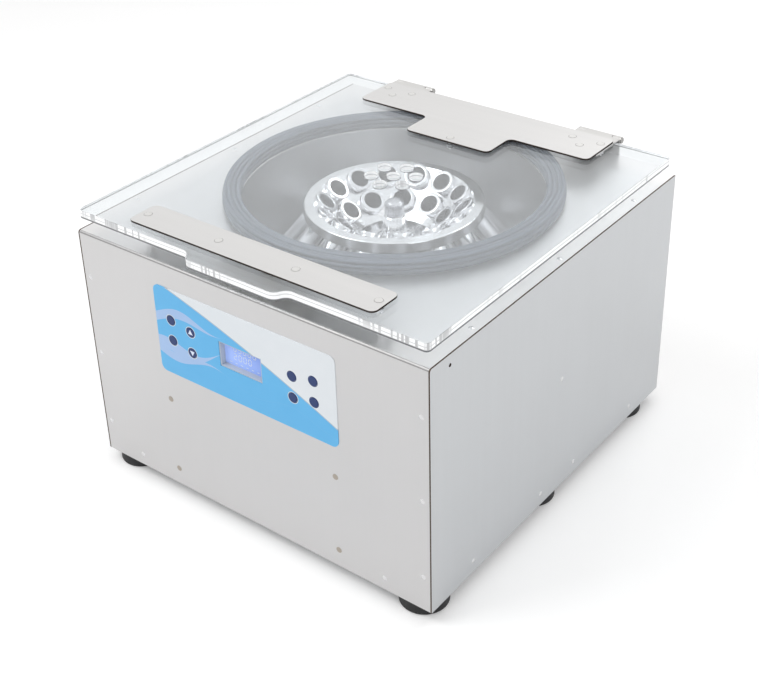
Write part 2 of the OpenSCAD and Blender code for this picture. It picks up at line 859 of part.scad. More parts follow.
// One leaf on the lid with the long middle knuckle, centred on X = 0
module upper_leaf() {
  difference() {
    union() {
      translate([-hinge_w/2, leaf_y, lid_top])
        cube([hinge_w, hinge_y - barrel_r - knuckle_gap - leaf_y, leaf_t]);
      translate([-knuckle_l/2, leaf_y + 20, lid_top])
        cube([knuckle_l, hinge_y - leaf_y - 20, leaf_t]);
      along_x(-knuckle_l/2, knuckle_l) translate([hinge_y, hinge_z]) circle(barrel_r);
    }
    along_x(-hinge_w, 2*hinge_w) translate([hinge_y, hinge_z]) circle(pin_r + run);
    translate([0, 0, lid_top - 1]) {
      for (k = [-1, 1]) {
        translate([k*leaf_stud_dx, leaf_stud_y[1], 0]) cylinder(r = shank_r + run, h = leaf_t + 2);
      }
      translate([0, leaf_stud_y[0], 0]) cylinder(r = shank_r + run, h = leaf_t + 2);
    }
  }
}

module upper_leaves() {
  color(steel) for (s = [-1, 1]) translate([s*hinge_x, 0, 0]) upper_leaf();
}

// Puts its child at the screws of one rear leaf, s = 1 for the right hinge
module hinge_screws_at(s) {
  for (k = [-1, 1]) {
    translate([s*hinge_x + k*leaf_stud_dx, rear_y + leaf_t, hinge_off[1]]) children();
  }
  translate([s*hinge_x, rear_y + leaf_t, hinge_off[0]]) children();
}

// One leaf on the rear panel with the two short end knuckles, centred on X = 0
module lower_leaf() {
  side = (hinge_w - knuckle_l)/2 - knuckle_gap;
  difference() {
    union() {
      translate([-hinge_w/2, rear_y, hinge_z - leaf_drop])
        cube([hinge_w, leaf_t, leaf_drop - barrel_r - knuckle_gap]);
      for (x = [-hinge_w/2, hinge_w/2 - side]) {
        translate([x, rear_y, hinge_z - 20]) cube([side, leaf_t, 20]);
        along_x(x, side) translate([hinge_y, hinge_z]) circle(barrel_r);
      }
    }
    along_x(-hinge_w, 2*hinge_w) translate([hinge_y, hinge_z]) circle(pin_r + run);
  }
}

module lower_leaves() {
  color(steel) difference() {
    for (s = [-1, 1]) translate([s*hinge_x, 0, 0]) lower_leaf();
    for (s = [-1, 1]) hinge_screws_at(s) wall_bar(0, 0, leaf_screw_r + clr, -6, 3);
  }
}

module hinge_pins() {
  color([0.35, 0.34, 0.33]) for (s = [-1, 1]) {
    along_x(s*hinge_x - hinge_w/2, hinge_w) translate([hinge_y, hinge_z]) circle(pin_r);
    along_x(s*hinge_x + hinge_w/2, 1.2) translate([hinge_y, hinge_z]) circle(pin_r + 1.2);
    along_x(s*hinge_x - hinge_w/2 - 1.2, 1.2) translate([hinge_y, hinge_z]) circle(pin_r + 1.2);
  }
}

module leaf_screws() {
  color([0.75, 0.75, 0.76]) for (s = [-1, 1]) hinge_screws_at(s) {
    wall_bar(0, 0, leaf_screw_r, -leaf_t - sheet_t - 2, 0);
    rotate([-90, 0, 0]) rotate_extrude() intersection() {
      translate([0, 2.2 - 5]) circle(5);
      square([screw_r, 2.2]);
    }
  }
}

module lid_catch() {
  z0 = lid_z - strap_t;
  color(steel) difference() {
    union() {
      translate([-strap_stud - 16, strap_y[0], z0])
        cube([2*strap_stud + 32, strap_y[1] - strap_y[0], strap_t]);
      translate([-catch_w/2, catch_y, top_z - catch_down])
        cube([catch_w, catch_t, z0 - top_z + catch_down]);
    }
    translate([0, 0, z0 - 1]) at_strip_studs() cylinder(r = shank_r + clr, h = strap_t + 2);
    wall_block(0, bolt_z, 2*eye_r, 2*eye_r, catch_y - 1, catch_y + catch_t + 1);
  }
}

module lock_body() {
  color([0.2, 0.2, 0.22]) difference() {
    translate([-lock_w/2, lock_y[0], top_z - sheet_t - lock_h])
      cube([lock_w, lock_y[1] - lock_y[0], lock_h]);
    wall_bar(0, bolt_z, bolt_r + run, lock_y[0] + 8, lock_y[1] + 1);
  }
}

module lock_bolt() {
  color([0.8, 0.8, 0.82]) wall_bar(0, bolt_z, bolt_r, lock_y[0] + 18, lock_y[1] + 3);
}

module keypad_overlay() {
  color([0.4, 0.74, 0.92]) difference() {
    translate([0, front_y, 0]) rotate([90, 0, 0]) linear_extrude(pad_t)
      translate([-pad_w/2, pad_z - pad_h/2]) round_rect(pad_w, pad_h, pad_r);
    wall_block(window_x, pad_z, window_w, window_h, front_y - 3, front_y + 3);
    for (k = key_at) wall_bar(k[0], pad_z + k[1], key_r + 0.3, front_y - 3, front_y + 3);
  }
}

module display_frame() {
  color([0.86, 0.88, 0.88]) difference() {
    wall_block(window_x, pad_z, window_w - clr, window_h - clr, front_y, front_y + window_deep);
    wall_block(window_x, pad_z, window_w - 2*frame_w, window_h - 2*frame_w, front_y - 1, board_y);
  }
}

module display_glass() {
  color([0.45, 0.58, 0.88]) wall_block(window_x, pad_z, window_w + 4, window_h + 4,
    front_y + window_deep, front_y + window_deep + glass_t);
}

// Seven bars of one figure, as a list of on and off, at a place on the glass
module figure(x, z, on) {
  a = digit_h/2;
  w = digit_w;
  y = front_y + window_deep;
  bars = [[0, a, 1], [w/2, a/2, 0], [w/2, -a/2, 0], [0, -a, 1], [-w/2, -a/2, 0],
    [-w/2, a/2, 0], [0, 0, 1]];
  for (i = [0:6]) if (on[i] == 1) {
    b = bars[i];
    wall_block(x + b[0], z + b[1], b[2] == 1 ? w - seg_w - 0.2 : seg_w,
      b[2] == 1 ? seg_w : a - seg_w - 0.2, y - seg_t, y);
  }
}

module display_digits() {
  zero = [1, 1, 1, 1, 1, 1, 0];
  five = [1, 0, 1, 1, 0, 1, 1];
  two = [1, 1, 0, 1, 1, 0, 1];
  dash = [0, 0, 0, 0, 0, 0, 1];
  color([0.93, 0.97, 1]) {
    for (i = [0:4]) figure(window_x - 16 + i*8, pad_z + 9.5, i == 1 ? five : zero);
    for (i = [0:3]) figure(window_x - 16 + i*8, pad_z - 2.6, i == 0 ? two : zero);
    for (i = [0:5]) figure(window_x - 24 + i*9, pad_z - 12.5, dash);
  }
}

// One key: a round cap on the overlay with a stem to its switch
module key_piece(i) {
  k = key_at[i];
  color([0.12, 0.24, 0.5]) {
    wall_bar(k[0], pad_z + k[1], key_r, front_y - key_out, front_y - key_out + key_t);
    wall_bar(k[0], pad_z + k[1], stem_r, front_y - key_out + key_t,
      board_y - switch_h - key_travel);
  }
}

module key_1() {
  key_piece(0);
}

module key_2() {
  key_piece(1);
}

module key_3() {
  key_piece(2);
}

module key_4() {
  key_piece(3);
}

module key_5() {
  key_piece(4);
}

module key_6() {
  key_piece(5);
}

module key_7() {
  key_piece(6);
}

module key_8() {
  key_piece(7);
}

module control_board() {
  color([0.1, 0.38, 0.2]) {
    wall_block(0, pad_z, board_w, board_h, board_y, board_y + board_t);
    wall_block(window_x, pad_z, window_w + 6, window_h + 6,
      front_y + window_deep + glass_t, board_y);
    for (k = key_at) wall_block(k[0], pad_z + k[1], 7, 7, board_y - switch_h, board_y);
    for (x = [-1, 1], z = [-1, 1]) {
      wall_bar(x*(board_w/2 - 6), pad_z + z*(board_h/2 - 6), 3.2, front_y + sheet_t, board_y);
    }
    wall_block(60, pad_z - 20, 24, 14, board_y + board_t, board_y + board_t + 6);
    wall_block(-60, pad_z + 20, 16, 16, board_y + board_t, board_y + board_t + 3);
  }
}

module power_unit() {
  z = base_z + (power_z[0] + power_z[1])/2 + 4;
  y = front_y + 8;
  color([0.55, 0.56, 0.58]) difference() {
    union() {
      wall_block(0, z, 2*power_x + 24, 128, y, y + 2);
      wall_block(-80, z, 70, 96, y + 2, y + 44);
      wall_block(10, z + 10, 80, 60, y + 2, y + 30);
      wall_bar(84, z - 24, 16, y + 2, y + 42);
      wall_bar(84, z + 20, 16, y + 2, y + 42);
    }
    for (s = [-1, 1], k = power_z) {
      wall_bar(s*power_x, base_z + k, power_shank_r + clr, y - 1, y + 4);
    }
  }
}

module inlet_socket() {
  x = inlet_at[0];
  z = base_z + inlet_at[1];
  color(dark) difference() {
    union() {
      wall_block(x, z, inlet_w + 8, inlet_h + 8, rear_y, rear_y + 3);
      wall_block(x, z, inlet_w - 4 - 2*clr, inlet_h - 4 - 2*clr, rear_y - inlet_deep, rear_y);
    }
    wall_block(x, z + 8, 22, 16, rear_y - 18, rear_y + 4);
    wall_block(x, z - 12, drawer_w + 2*clr, drawer_h + 2*clr, rear_y - 22, rear_y + 4);
  }
  color([0.8, 0.78, 0.7]) for (p = [[-7, -2], [0, 2], [7, -2]]) {
    wall_block(x + p[0], z + 8 + p[1], 2, 4, rear_y - 18, rear_y - 3);
  }
}

module fuse_drawer() {
  color([0.16, 0.16, 0.17]) {
    wall_block(inlet_at[0], base_z + inlet_at[1] - 12, drawer_w, drawer_h,
      rear_y - 20, rear_y + 3.6);
  }
}

module switch_body() {
  x = rocker_at[0];
  z = base_z + rocker_at[1];
  color(dark) difference() {
    union() {
      wall_block(x, z, rocker_w, rocker_h, rear_y, rear_y + 2);
      wall_block(x, z, rocker_w - 3 - 2*clr, rocker_h - 3 - 2*clr, rear_y - 24, rear_y);
    }
    wall_block(x, z, 14, 22, rear_y - 12, rear_y + 3);
    along_x(x - pivot_l - clr, 2*pivot_l + 2*clr) translate([rear_y - 4, z]) circle(pivot_r + run);
  }
}

module switch_rocker() {
  y = rear_y - 4;
  z = base_z + rocker_at[1];
  color([0.1, 0.1, 0.1]) {
    along_x(rocker_at[0] - 6.7, 13.4) translate([y, z]) rotate(rocker_tilt) difference() {
      circle(9.6);
      translate([-20, -20]) square([20 - 2, 40]);
      translate([16.5, 0]) circle(11);
    }
    along_x(rocker_at[0] - pivot_l, 2*pivot_l) translate([y, z]) circle(pivot_r);
  }
}

module fan_frame() {
  x = fan_at[0];
  z = base_z + fan_at[1];
  y1 = rear_y - sheet_t;
  color(dark) difference() {
    union() {
      difference() {
        wall_block(x, z, fan_w, fan_w, y1 - fan_deep, y1);
        wall_bar(x, z, fan_r, y1 - fan_deep - 1, y1 + 1);
      }
      wall_bar(x, z, fan_hub_r, y1 - fan_deep, y1 - fan_deep + 4);
      wall_block(x, z, 2*fan_r + 2, 6, y1 - fan_deep, y1 - fan_deep + 3);
      wall_block(x, z, 6, 2*fan_r + 2, y1 - fan_deep, y1 - fan_deep + 3);
    }
    wall_bar(x, z, 2.5 + run, y1 - fan_deep - 1, y1);
    at_fan_screws() wall_bar(0, 0, fan_screw_r + clr, -fan_deep, 3);
  }
}

module fan_wheel() {
  y0 = rear_y - sheet_t - fan_deep;
  color([0.2, 0.2, 0.2]) translate([fan_at[0], y0, base_z + fan_at[1]]) rotate([-90, 0, 0]) {
    translate([0, 0, 0.5]) cylinder(r = 2.5, h = 6);
    translate([0, 0, 5]) cylinder(r = fan_hub_r, h = 16);
    intersection() {
      for (i = [0:blade_n - 1]) {
        rotate(i*360/blade_n) translate([0, 0, 13]) rotate([40, 0, 0])
          translate([fan_hub_r - 2, -9, -0.8]) cube([fan_r, 18, 1.6]);
      }
      translate([0, 0, 5]) cylinder(r = fan_r - 1.5, h = 16);
    }
  }
}

module fan_guard() {
  color([0.75, 0.75, 0.76]) translate([fan_at[0], rear_y, base_z + fan_at[1]]) rotate([-90, 0, 0]) {
    for (r = [12, 22, 32, 42]) {
      translate([0, 0, 1.4]) difference() {
        cylinder(r = r + 1, h = 1.6);
        translate([0, 0, -1]) cylinder(r = r - 1, h = 4);
      }
    }
    for (a = [45, 135]) rotate(a) difference() {
      translate([-guard_l/2, -4, 0]) cube([guard_l, 8, 1.5]);
      for (s = [-1, 1]) {
        translate([s*fan_screw_at*sqrt(2), 0, -1]) cylinder(r = fan_screw_r + clr, h = 4);
      }
    }
  }
}

// Puts its child on the rear face at each screw of the fan
module at_fan_screws() {
  for (x = [-1, 1], z = [-1, 1]) {
    translate([fan_at[0] + x*fan_screw_at, rear_y, base_z + fan_at[1] + z*fan_screw_at])
      children();
  }
}

module fan_screws() {
  color([0.75, 0.75, 0.76]) at_fan_screws() {
    wall_bar(0, 0, fan_screw_r, -fan_screw_l, 1.5);
    rotate([-90, 0, 0]) rotate_extrude() translate([0, 1.5]) intersection() {
      translate([0, 2 - 4.5]) circle(4.5);
      square([3.4, 2]);
    }
  }
}

base_tray();
cover_sheet();
side_left();
side_right();
rear_panel();
corner_angles();
body_rivets();
power_studs();
feet();
foot_screws();
bowl();
bowl_gasket();
bowl_boot();
motor_body();
motor_plate();
isolators();
spindle();
rotor_dish();
outer_sleeves();
inner_sleeves();
rotor_hub();
knob_washer();
rotor_knob();
lid_sheet();
front_strip();
hinge_plate();
lid_studs();
lid_nuts();
plate_spacers();
upper_leaves();
lower_leaves();
hinge_pins();
leaf_screws();
lid_catch();
lock_body();
lock_bolt();
keypad_overlay();
display_frame();
display_glass();
display_digits();
key_1();
key_2();
key_3();
key_4();
key_5();
key_6();
key_7();
key_8();
control_board();
power_unit();
inlet_socket();
fuse_drawer();
switch_body();
switch_rocker();
fan_frame();
fan_wheel();
fan_guard();
fan_screws();
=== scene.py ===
# %% [markdown]
# # The looks of a bench centrifuge for butterfat tubes
# The machine is a square box of brushed sheet steel with a clear lid, a round bowl under it and a
# pale aluminium rotor with two rows of leaning sleeves. Its solids come ready made and exact, so
# this lesson is about what they lack: surfaces, fine edges, printed film, glass and light.

import json
import math

import bpy
import numpy as np
from mathutils import Matrix, Vector
from mathutils.geometry import tessellate_polygon


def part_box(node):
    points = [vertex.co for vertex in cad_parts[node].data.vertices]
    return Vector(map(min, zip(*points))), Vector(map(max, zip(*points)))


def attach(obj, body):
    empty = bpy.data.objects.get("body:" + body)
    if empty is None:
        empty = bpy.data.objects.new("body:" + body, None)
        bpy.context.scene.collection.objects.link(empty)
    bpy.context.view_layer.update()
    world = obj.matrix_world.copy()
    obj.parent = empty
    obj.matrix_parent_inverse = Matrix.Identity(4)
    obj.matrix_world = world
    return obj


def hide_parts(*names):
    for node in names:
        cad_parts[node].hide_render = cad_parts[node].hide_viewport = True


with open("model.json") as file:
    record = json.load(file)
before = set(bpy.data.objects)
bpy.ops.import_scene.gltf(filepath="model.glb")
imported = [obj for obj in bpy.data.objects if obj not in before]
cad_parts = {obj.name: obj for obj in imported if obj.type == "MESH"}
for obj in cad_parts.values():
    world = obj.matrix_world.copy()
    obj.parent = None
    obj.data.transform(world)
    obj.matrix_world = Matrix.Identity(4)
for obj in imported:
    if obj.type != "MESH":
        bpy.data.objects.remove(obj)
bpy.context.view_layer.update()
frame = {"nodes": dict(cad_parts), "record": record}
MM, TO_MM = 0.001, 1000.0

# %% [markdown]
# New pieces have to sit exactly where the solids are. Typing the places in again invites slips, so
# they are read off the boxes of the solids wherever a box shows them. Only the few sizes that no
# box gives, such as the lean of the sleeves, are written here once.

# %% Places and sizes
def corners(node):
    """Lowest and highest corner of a solid, in millimetres, as two arrays."""
    low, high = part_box(node)
    return np.array(low) / MM, np.array(high) / MM


side_lo, side_hi = corners("side_left")
lid_lo, lid_hi = corners("lid_sheet")
strip_lo, strip_hi = corners("front_strip")
tee_lo, tee_hi = corners("hinge_plate")
pad_lo, pad_hi = corners("keypad_overlay")
dish_lo, dish_hi = corners("rotor_dish")
seal_lo, seal_hi = corners("bowl_gasket")
knob_lo, knob_hi = corners("rotor_knob")
front_y, rear_y, top_z = side_lo[1], side_hi[1], side_hi[2]
axis_x, axis_y = 0.0, (dish_lo[1] + dish_hi[1]) / 2
# A row of sleeves: how many, the row's radius, and the first one's place in degrees
OUTER, INNER = (14, 91.0, 209.6), (10, 66.2, 225.2)
# The sleeves lean by TILT degrees. Their mouths stand MOUTH_UP over the dish's cone, which starts
# at the rim's inner radius RIM_IN_R and falls by as much as it goes inwards.
TILT, MOUTH_UP, RIM_IN_R = 39.5, 11.3, 108.0
BORE_R, TUBE_R, NECK_R, FLANGE_R = 12.3, 14.3, 15.3, 17.2
TUBE_L, NECK_L, FLANGE_T = 145.0, 19.0, 4.0
print("cabinet %.0f wide, %.0f deep, top at %.0f mm"
      % (2 * abs(side_lo[0]), rear_y - front_y, top_z))

# %% [markdown]
# Most new shapes here are grids of points, each worked out by numpy as one array and joined by
# faces with four sides. Blender's own primitives would be quicker to type, but they can't carry a
# profile with ribs or lips, and modelling point by point in Python is slow and hard to read.

# %% From arrays to a mesh
def grid_faces(rows, cols, wrap_rows=False):
    """Four-sided faces over a grid whose rows close on themselves: point (i, j) joins (i, j + 1),
    (i + 1, j + 1) and (i + 1, j). With wrap_rows the last row joins the first one as well."""
    i = np.arange(rows if wrap_rows else rows - 1)[:, None]
    j = np.arange(cols)[None, :]
    down, across = (i + 1) % rows, (j + 1) % cols
    joined = [i * cols + j, i * cols + across, down * cols + across, down * cols + j]
    return np.stack(joined, -1).reshape(-1, 4)


def to_mesh(name, points, faces, sharp=35.0):
    """Makes an object of points in millimetres; edges that turn by more than sharp degrees stay
    crisp."""
    mesh = bpy.data.meshes.new(name)
    places = (np.asarray(points).reshape(-1, 3) * MM).tolist()
    mesh.from_pydata(places, [], [list(map(int, f)) for f in faces])
    mesh.polygons.foreach_set("use_smooth", [True] * len(mesh.polygons))
    mesh.set_sharp_from_angle(angle=math.radians(sharp))
    mesh.update()
    piece = bpy.data.objects.new(name, mesh)
    bpy.context.collection.objects.link(piece)
    return piece


def spun(profile, turns):
    """A profile (r, z) carried round an upright axis: x = r cos a, y = r sin a, z = z for the
    angles a. Where r changes with a as well, profile holds one (r, z) per row and angle."""
    profile = np.asarray(profile, float)
    if profile.ndim == 2:
        profile = np.repeat(profile[:, None, :], turns, 1)
    a = np.arange(turns) * 2 * np.pi / turns
    return np.stack([profile[..., 0] * np.cos(a), profile[..., 0] * np.sin(a), profile[..., 1]], -1)


def bend(cx, cy, r, start, end, n):
    """n points of an arc: (cx + r cos a, cy + r sin a), with a from start to end in degrees."""
    a = np.radians(np.linspace(start, end, n))
    return np.stack([cx + r * np.cos(a), cy + r * np.sin(a)], -1)


def dress(piece, body, material, slot, *stands_for):
    """Gives a piece its material and its body, and hides the solids it stands for. The slot is not
    used.
    """
    piece.data.materials.append(material)
    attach(piece, body)
    if stands_for:
        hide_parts(*stands_for)
    print("%s: %d faces" % (piece.name, len(piece.data.polygons)))


print("mesh helpers ready")

# %% [markdown]
# A material is a graph of nodes. Linking nodes by hand in Python hides the idea behind the wiring,
# so a small class wraps an output socket and lets it be added, multiplied and compared like a
# number. `Finish` holds one material and makes any other node through its one method `node`.

# %% Shader arithmetic
class Wire:
    """One output socket of a material, usable in Python arithmetic."""

    def __init__(self, finish, socket):
        self.finish, self.socket = finish, socket

    def calc(self, operation, *values):
        return self.finish.node("ShaderNodeMath", dict(operation=operation),
                                dict(enumerate(values)))

    def __add__(self, other): return self.calc("ADD", self, other)
    def __radd__(self, other): return self.calc("ADD", other, self)
    def __sub__(self, other): return self.calc("SUBTRACT", self, other)
    def __rsub__(self, other): return self.calc("SUBTRACT", other, self)
    def __mul__(self, other): return self.calc("MULTIPLY", self, other)
    def __truediv__(self, other): return self.calc("DIVIDE", self, other)
    def __abs__(self): return self.calc("ABSOLUTE", self)
    def sine(self): return self.calc("SINE", self)
    def root(self): return self.calc("SQRT", self)
    def highest(self, other): return self.calc("MAXIMUM", self, other)

    def rise(self, low, high, to_low=0.0, to_high=1.0):
        """to_low below low, to_high above high, and a smooth step between."""
        return self.finish.node("ShaderNodeMapRange", dict(interpolation_type="SMOOTHSTEP"),
                                {"Value": self, "From Min": low, "From Max": high,
                                 "To Min": to_low, "To Max": to_high})


class Finish:
    """A material being built."""

    def __init__(self, name):
        self.material = bpy.data.materials.new(name)
        self.material.use_nodes = True
        self.tree = self.material.node_tree
        self.tree.nodes.clear()
        place = self.node("ShaderNodeTexCoord", out="Object")
        self.at = place
        self.x, self.y, self.z = self.split(place)

    def node(self, kind, settings=None, inputs=None, out=0):
        """Any node: settings first, then a value or a link for each input; returns one output."""
        made = self.tree.nodes.new(kind)
        for key, value in (settings or {}).items():
            setattr(made, key, value)
        for key, value in (inputs or {}).items():
            socket = made.inputs[key]
            if isinstance(value, Wire):
                self.tree.links.new(value.socket, socket)
            elif hasattr(socket.default_value, "__len__"):
                socket.default_value = (list(value) + [1.0])[:len(socket.default_value)]
            else:
                socket.default_value = value
        return Wire(self, made.outputs[out])

    def split(self, vector):
        first = self.node("ShaderNodeSeparateXYZ", None, {0: vector})
        return [Wire(self, s) for s in first.socket.node.outputs]

    def normal(self):
        """Which way the surface looks, in the piece's own frame."""
        return self.split(self.node("ShaderNodeTexCoord", out="Normal"))

    def stretched(self, sx, sy, sz):
        """Object coordinates times one factor each, which draws a noise out into streaks."""
        return self.node("ShaderNodeVectorMath", dict(operation="MULTIPLY"),
                         {0: self.at, 1: (sx, sy, sz)})

    def noise(self, scale, detail=2.0, roughness=0.5, at=None):
        return self.node("ShaderNodeTexNoise", None, {
            "Vector": at or self.at, "Scale": scale, "Detail": detail, "Roughness": roughness})

    def blend(self, share, first, second):
        """The colour first where share is 0 and second where it is 1. A Mix node's sockets go by
        number: 0 is the share, 6 and 7 are the two colours and output 2 is the mixed one."""
        return self.node("ShaderNodeMix", dict(data_type="RGBA"), {0: share, 6: first, 7: second},
                         out=2)

    def tone(self, colour, level):
        """A colour, input 0, made darker or lighter by a level round 1, input 3."""
        return self.node("ShaderNodeVectorMath", dict(operation="SCALE"), {0: colour, 3: level})

    def bump(self, height, strength, distance=0.0002):
        return self.node("ShaderNodeBump", None,
                         {"Height": height, "Strength": strength, "Distance": distance})

    def principled(self, **values):
        names = {k.replace("_", " "): v for k, v in values.items()}
        return self.node("ShaderNodeBsdfPrincipled", None, names)

    def done(self, shader):
        """Closes the material with its shader."""
        out = self.tree.nodes.new("ShaderNodeOutputMaterial")
        self.tree.links.new(shader.socket, out.inputs["Surface"])
        return self.material


def rgb(r, g, b):
    """A colour as a picture gives it, 0 to 255, turned into the linear light that shaders take."""
    c = np.array([r, g, b]) / 255
    return np.where(c > 0.04045, ((c + 0.055) / 1.055) ** 2.4, c / 12.92).tolist()


print("shader helpers ready")

# %% [markdown]
# Sheet steel from a brushing line has straight fine scratches, broader bands where the belt was
# worn, and cloudy patches of handling. An image would repeat; noise drawn out along one direction
# doesn't, and it works on every sheet. Laser-cut edges are duller and brown from the heat, so the
# finish looks at which way the surface faces and browns what doesn't face along the sheet.

# %% Brushed sheet
# How much paler than the burnt colour the palest spots of a cut edge are, of 255
PALER = 46


def brushed(name, colour, dull, along, cut=None, cloudy=0.05, streaky=0.05, deep=0.12,
            burnt=(70, 58, 50), painted_fold_shade_top_light=False):
    """Streaks run along axis 0, 1 or 2; cut is the axis that the sheet's faces look along. With the
    fold flag, the bend that looks forward and up gets painted shade and the top that looks up gets
    a painted highlight."""
    f = Finish(name)
    fine, broad = [900.0] * 3, [90.0] * 3
    fine[along], broad[along] = 7.0, 1.5
    scratch = f.noise(1.0, 3.0, 0.65, f.stretched(*fine))
    band = f.noise(1.0, 2.0, 0.5, f.stretched(*broad))
    cloud = f.noise(3.5, 3.0, 0.55)
    smear = f.noise(19.0, 4.0, 0.6)
    level = 1.0 + (scratch - 0.5) * streaky + (band - 0.5) * streaky + (cloud - 0.5) * cloudy
    base = f.tone(colour, level)
    rough = dull + (band - 0.5) * 0.10 + (smear - 0.5) * 0.08 + (scratch - 0.5) * 0.06
    if painted_fold_shade_top_light:
        # Painted shade on the bend that looks forward and up, and painted light on the top that
        # looks up.
        n = f.normal()
        turn = abs(n[1]).rise(0.15, 0.4) * abs(n[2]).rise(0.15, 0.4)
        base = f.tone(base, 1.0 - turn * 0.55 + n[2].rise(0.9, 0.99) * 0.22)
    if cut is not None:
        edge = 1.0 - abs(f.normal()[cut]).rise(0.75, 0.95)
        scorch = f.noise(300.0, 3.0)
        stain = f.blend(scorch, rgb(*burnt), rgb(*(c + PALER for c in burnt)))
        base = f.blend(edge, base, stain)
        rough = rough + edge * 0.2
    return f.done(f.principled(Base_Color=base, Metallic=1.0, Roughness=rough,
                               Normal=f.bump(scratch * 0.6 + band * 0.4, deep)))


print("brushed sheet ready")

# %% [markdown]
# Parts from a lathe carry rings round their axis, too fine to model and still visible as a sheen.
# A sine of the radius draws them as bump. Small bought hardware is plated instead: its crystal
# makes a mottle that changes colour and gloss a little from spot to spot.

# %% Turned and plated metal
def turned(name, colour, dull, deep=0.05, pitch=0.0011):
    f = Finish(name)
    dx, dy = f.x - axis_x * MM, f.y - axis_y * MM
    radius = (dx * dx + dy * dy).root()
    rings = ((radius + f.z * 0.7) * (2 * math.pi / pitch)).sine() * 0.5 + 0.5
    haze = f.noise(30.0, 4.0, 0.6)
    speck = f.noise(260.0, 2.0)
    base = f.tone(colour, 0.97 + haze * 0.06)
    rough = dull + (haze - 0.5) * 0.12 + (speck - 0.5) * 0.05
    return f.done(f.principled(Base_Color=base, Metallic=1.0, Roughness=rough,
                               Normal=f.bump(rings * 0.7 + speck * 0.3, deep, 0.0001)))


def plated(name, colour, dull, grain=450.0):
    f = Finish(name)
    mottle = f.noise(grain, 3.0, 0.6)
    worn = f.noise(70.0, 3.0)
    base = f.tone(colour, 0.92 + mottle * 0.1 + worn * 0.06)
    return f.done(f.principled(Base_Color=base, Metallic=1.0, Roughness=dull + (mottle - 0.5) * 0.2,
                               Normal=f.bump(mottle, 0.1)))


print("lathe and plated finishes ready")

# %% [markdown]
# Rubber, paint and moulded plastic aren't metals: their colour lies in the body of the stuff, and a
# fine grain breaks the gloss. A slow noise adds the slight unevenness that dust and fingers leave.

# %% Rubber, paint and plastic
def moulded(name, colour, dull, grain=900.0, deep=0.15, uneven=0.08):
    f = Finish(name)
    fine = f.noise(grain, 3.0, 0.6)
    slow = f.noise(24.0, 3.0, 0.55)
    base = f.tone(colour, 1.0 + (slow - 0.5) * uneven + (fine - 0.5) * uneven)
    return f.done(f.principled(Base_Color=base, Roughness=dull + (slow - 0.5) * 0.12,
                               Normal=f.bump(fine, deep)))


def seal_rubber(name):
    """Blue-grey foam rubber, with painted light that makes it a little paler on what looks up."""
    f = Finish(name)
    fine = f.noise(700.0, 3.0, 0.6)
    slow = f.noise(12.0, 3.0)
    # Painted light: surfaces that look up get the paler copy of the rubber's colour.
    up = f.normal()[2].rise(-0.2, 0.9)
    base = f.tone(f.blend(up, rgb(64, 71, 82), rgb(88, 96, 109)), 0.96 + slow * 0.08)
    return f.done(f.principled(Base_Color=base, Roughness=0.45 + (fine - 0.5) * 0.12,
                               Normal=f.bump(fine, 0.12)))


print("soft finishes ready")

# %% [markdown]
# The lid is clear cast acrylic. Glass in a path tracer keeps lamps out of what lies behind it, and
# the rotor would sit in a dark pit. A Mix Shader that turns fully transparent for shadow rays lets
# the lamps in, while the camera still sees refraction and reflection. Old cast sheet also has a
# faint milky veil, which is what is left when it lets through a little less than all the light.
# The polished cut edges gather light from the whole sheet, and many bounces inside it would be
# needed to show that. So they get a finish of their own with painted light and shade: a pale colour
# that glows a little as painted light, a dark line along the foot and a fainter one further up as
# painted shade, and short dark bars as painted reflections of what lies round such an edge.

# %% Clear acrylic
ACRYLIC_IOR = 1.49


def acrylic(name):
    """The level runs from 0 at the foot of the lid's edge to 1 at its top."""
    f = Finish(name)
    swirl = f.noise(7.0, 2.0)
    scuff = f.noise(150.0, 3.0, 0.6).rise(0.6, 0.8, 0.006, 0.05)
    glass = f.principled(Base_Color=rgb(246, 249, 251), Roughness=scuff, IOR=ACRYLIC_IOR,
                         Transmission_Weight=0.91, Normal=f.bump(swirl, 0.02, 0.002))
    level = (f.z * TO_MM - lid_lo[2]) / (lid_hi[2] - lid_lo[2])
    # Painted reflection and shade on the upright edges: dark bars stand in for what an edge
    # mirrors, plus a dark line at the foot and a fainter one further up.
    painted_reflection_bars = f.noise(1.0, 2.0, 0.5, f.stretched(180.0, 180.0, 4.0)).rise(0.48, 0.58)
    patch = f.noise(11.0, 2.0).rise(0.42, 0.6)
    painted_foot_line = 1.0 - level.rise(0.16, 0.3)
    lip = 1.0 - abs(level - 0.62 + (f.noise(6.0, 2.0) - 0.5) * 0.5).rise(0.03, 0.09)
    painted_edge_shade = (painted_reflection_bars * patch * 0.5).highest(painted_foot_line * 0.9).highest(lip * 0.35)
    painted_edge_colour = f.blend(painted_edge_shade, rgb(252, 253, 254), rgb(44, 47, 54))
    # The edges' pale colour also glows a little: painted light in place of light gathered inside
    # the sheet.
    painted_edge_shader = f.principled(Base_Color=painted_edge_colour, Roughness=0.12, IOR=ACRYLIC_IOR, Coat_Weight=0.4,
                       Emission_Color=painted_edge_colour, Emission_Strength=0.12)
    upright = 1.0 - abs(f.normal()[2]).rise(0.5, 0.9)
    glass = f.node("ShaderNodeMixShader", None, {0: upright, 1: glass, 2: painted_edge_shader})
    clear = f.node("ShaderNodeBsdfTransparent", None, {"Color": (0.94, 0.96, 0.96)})
    lamp_ray = f.node("ShaderNodeLightPath", out="Is Shadow Ray")
    return f.done(f.node("ShaderNodeMixShader", None, {0: lamp_ray, 1: glass, 2: clear}))


print("acrylic ready")

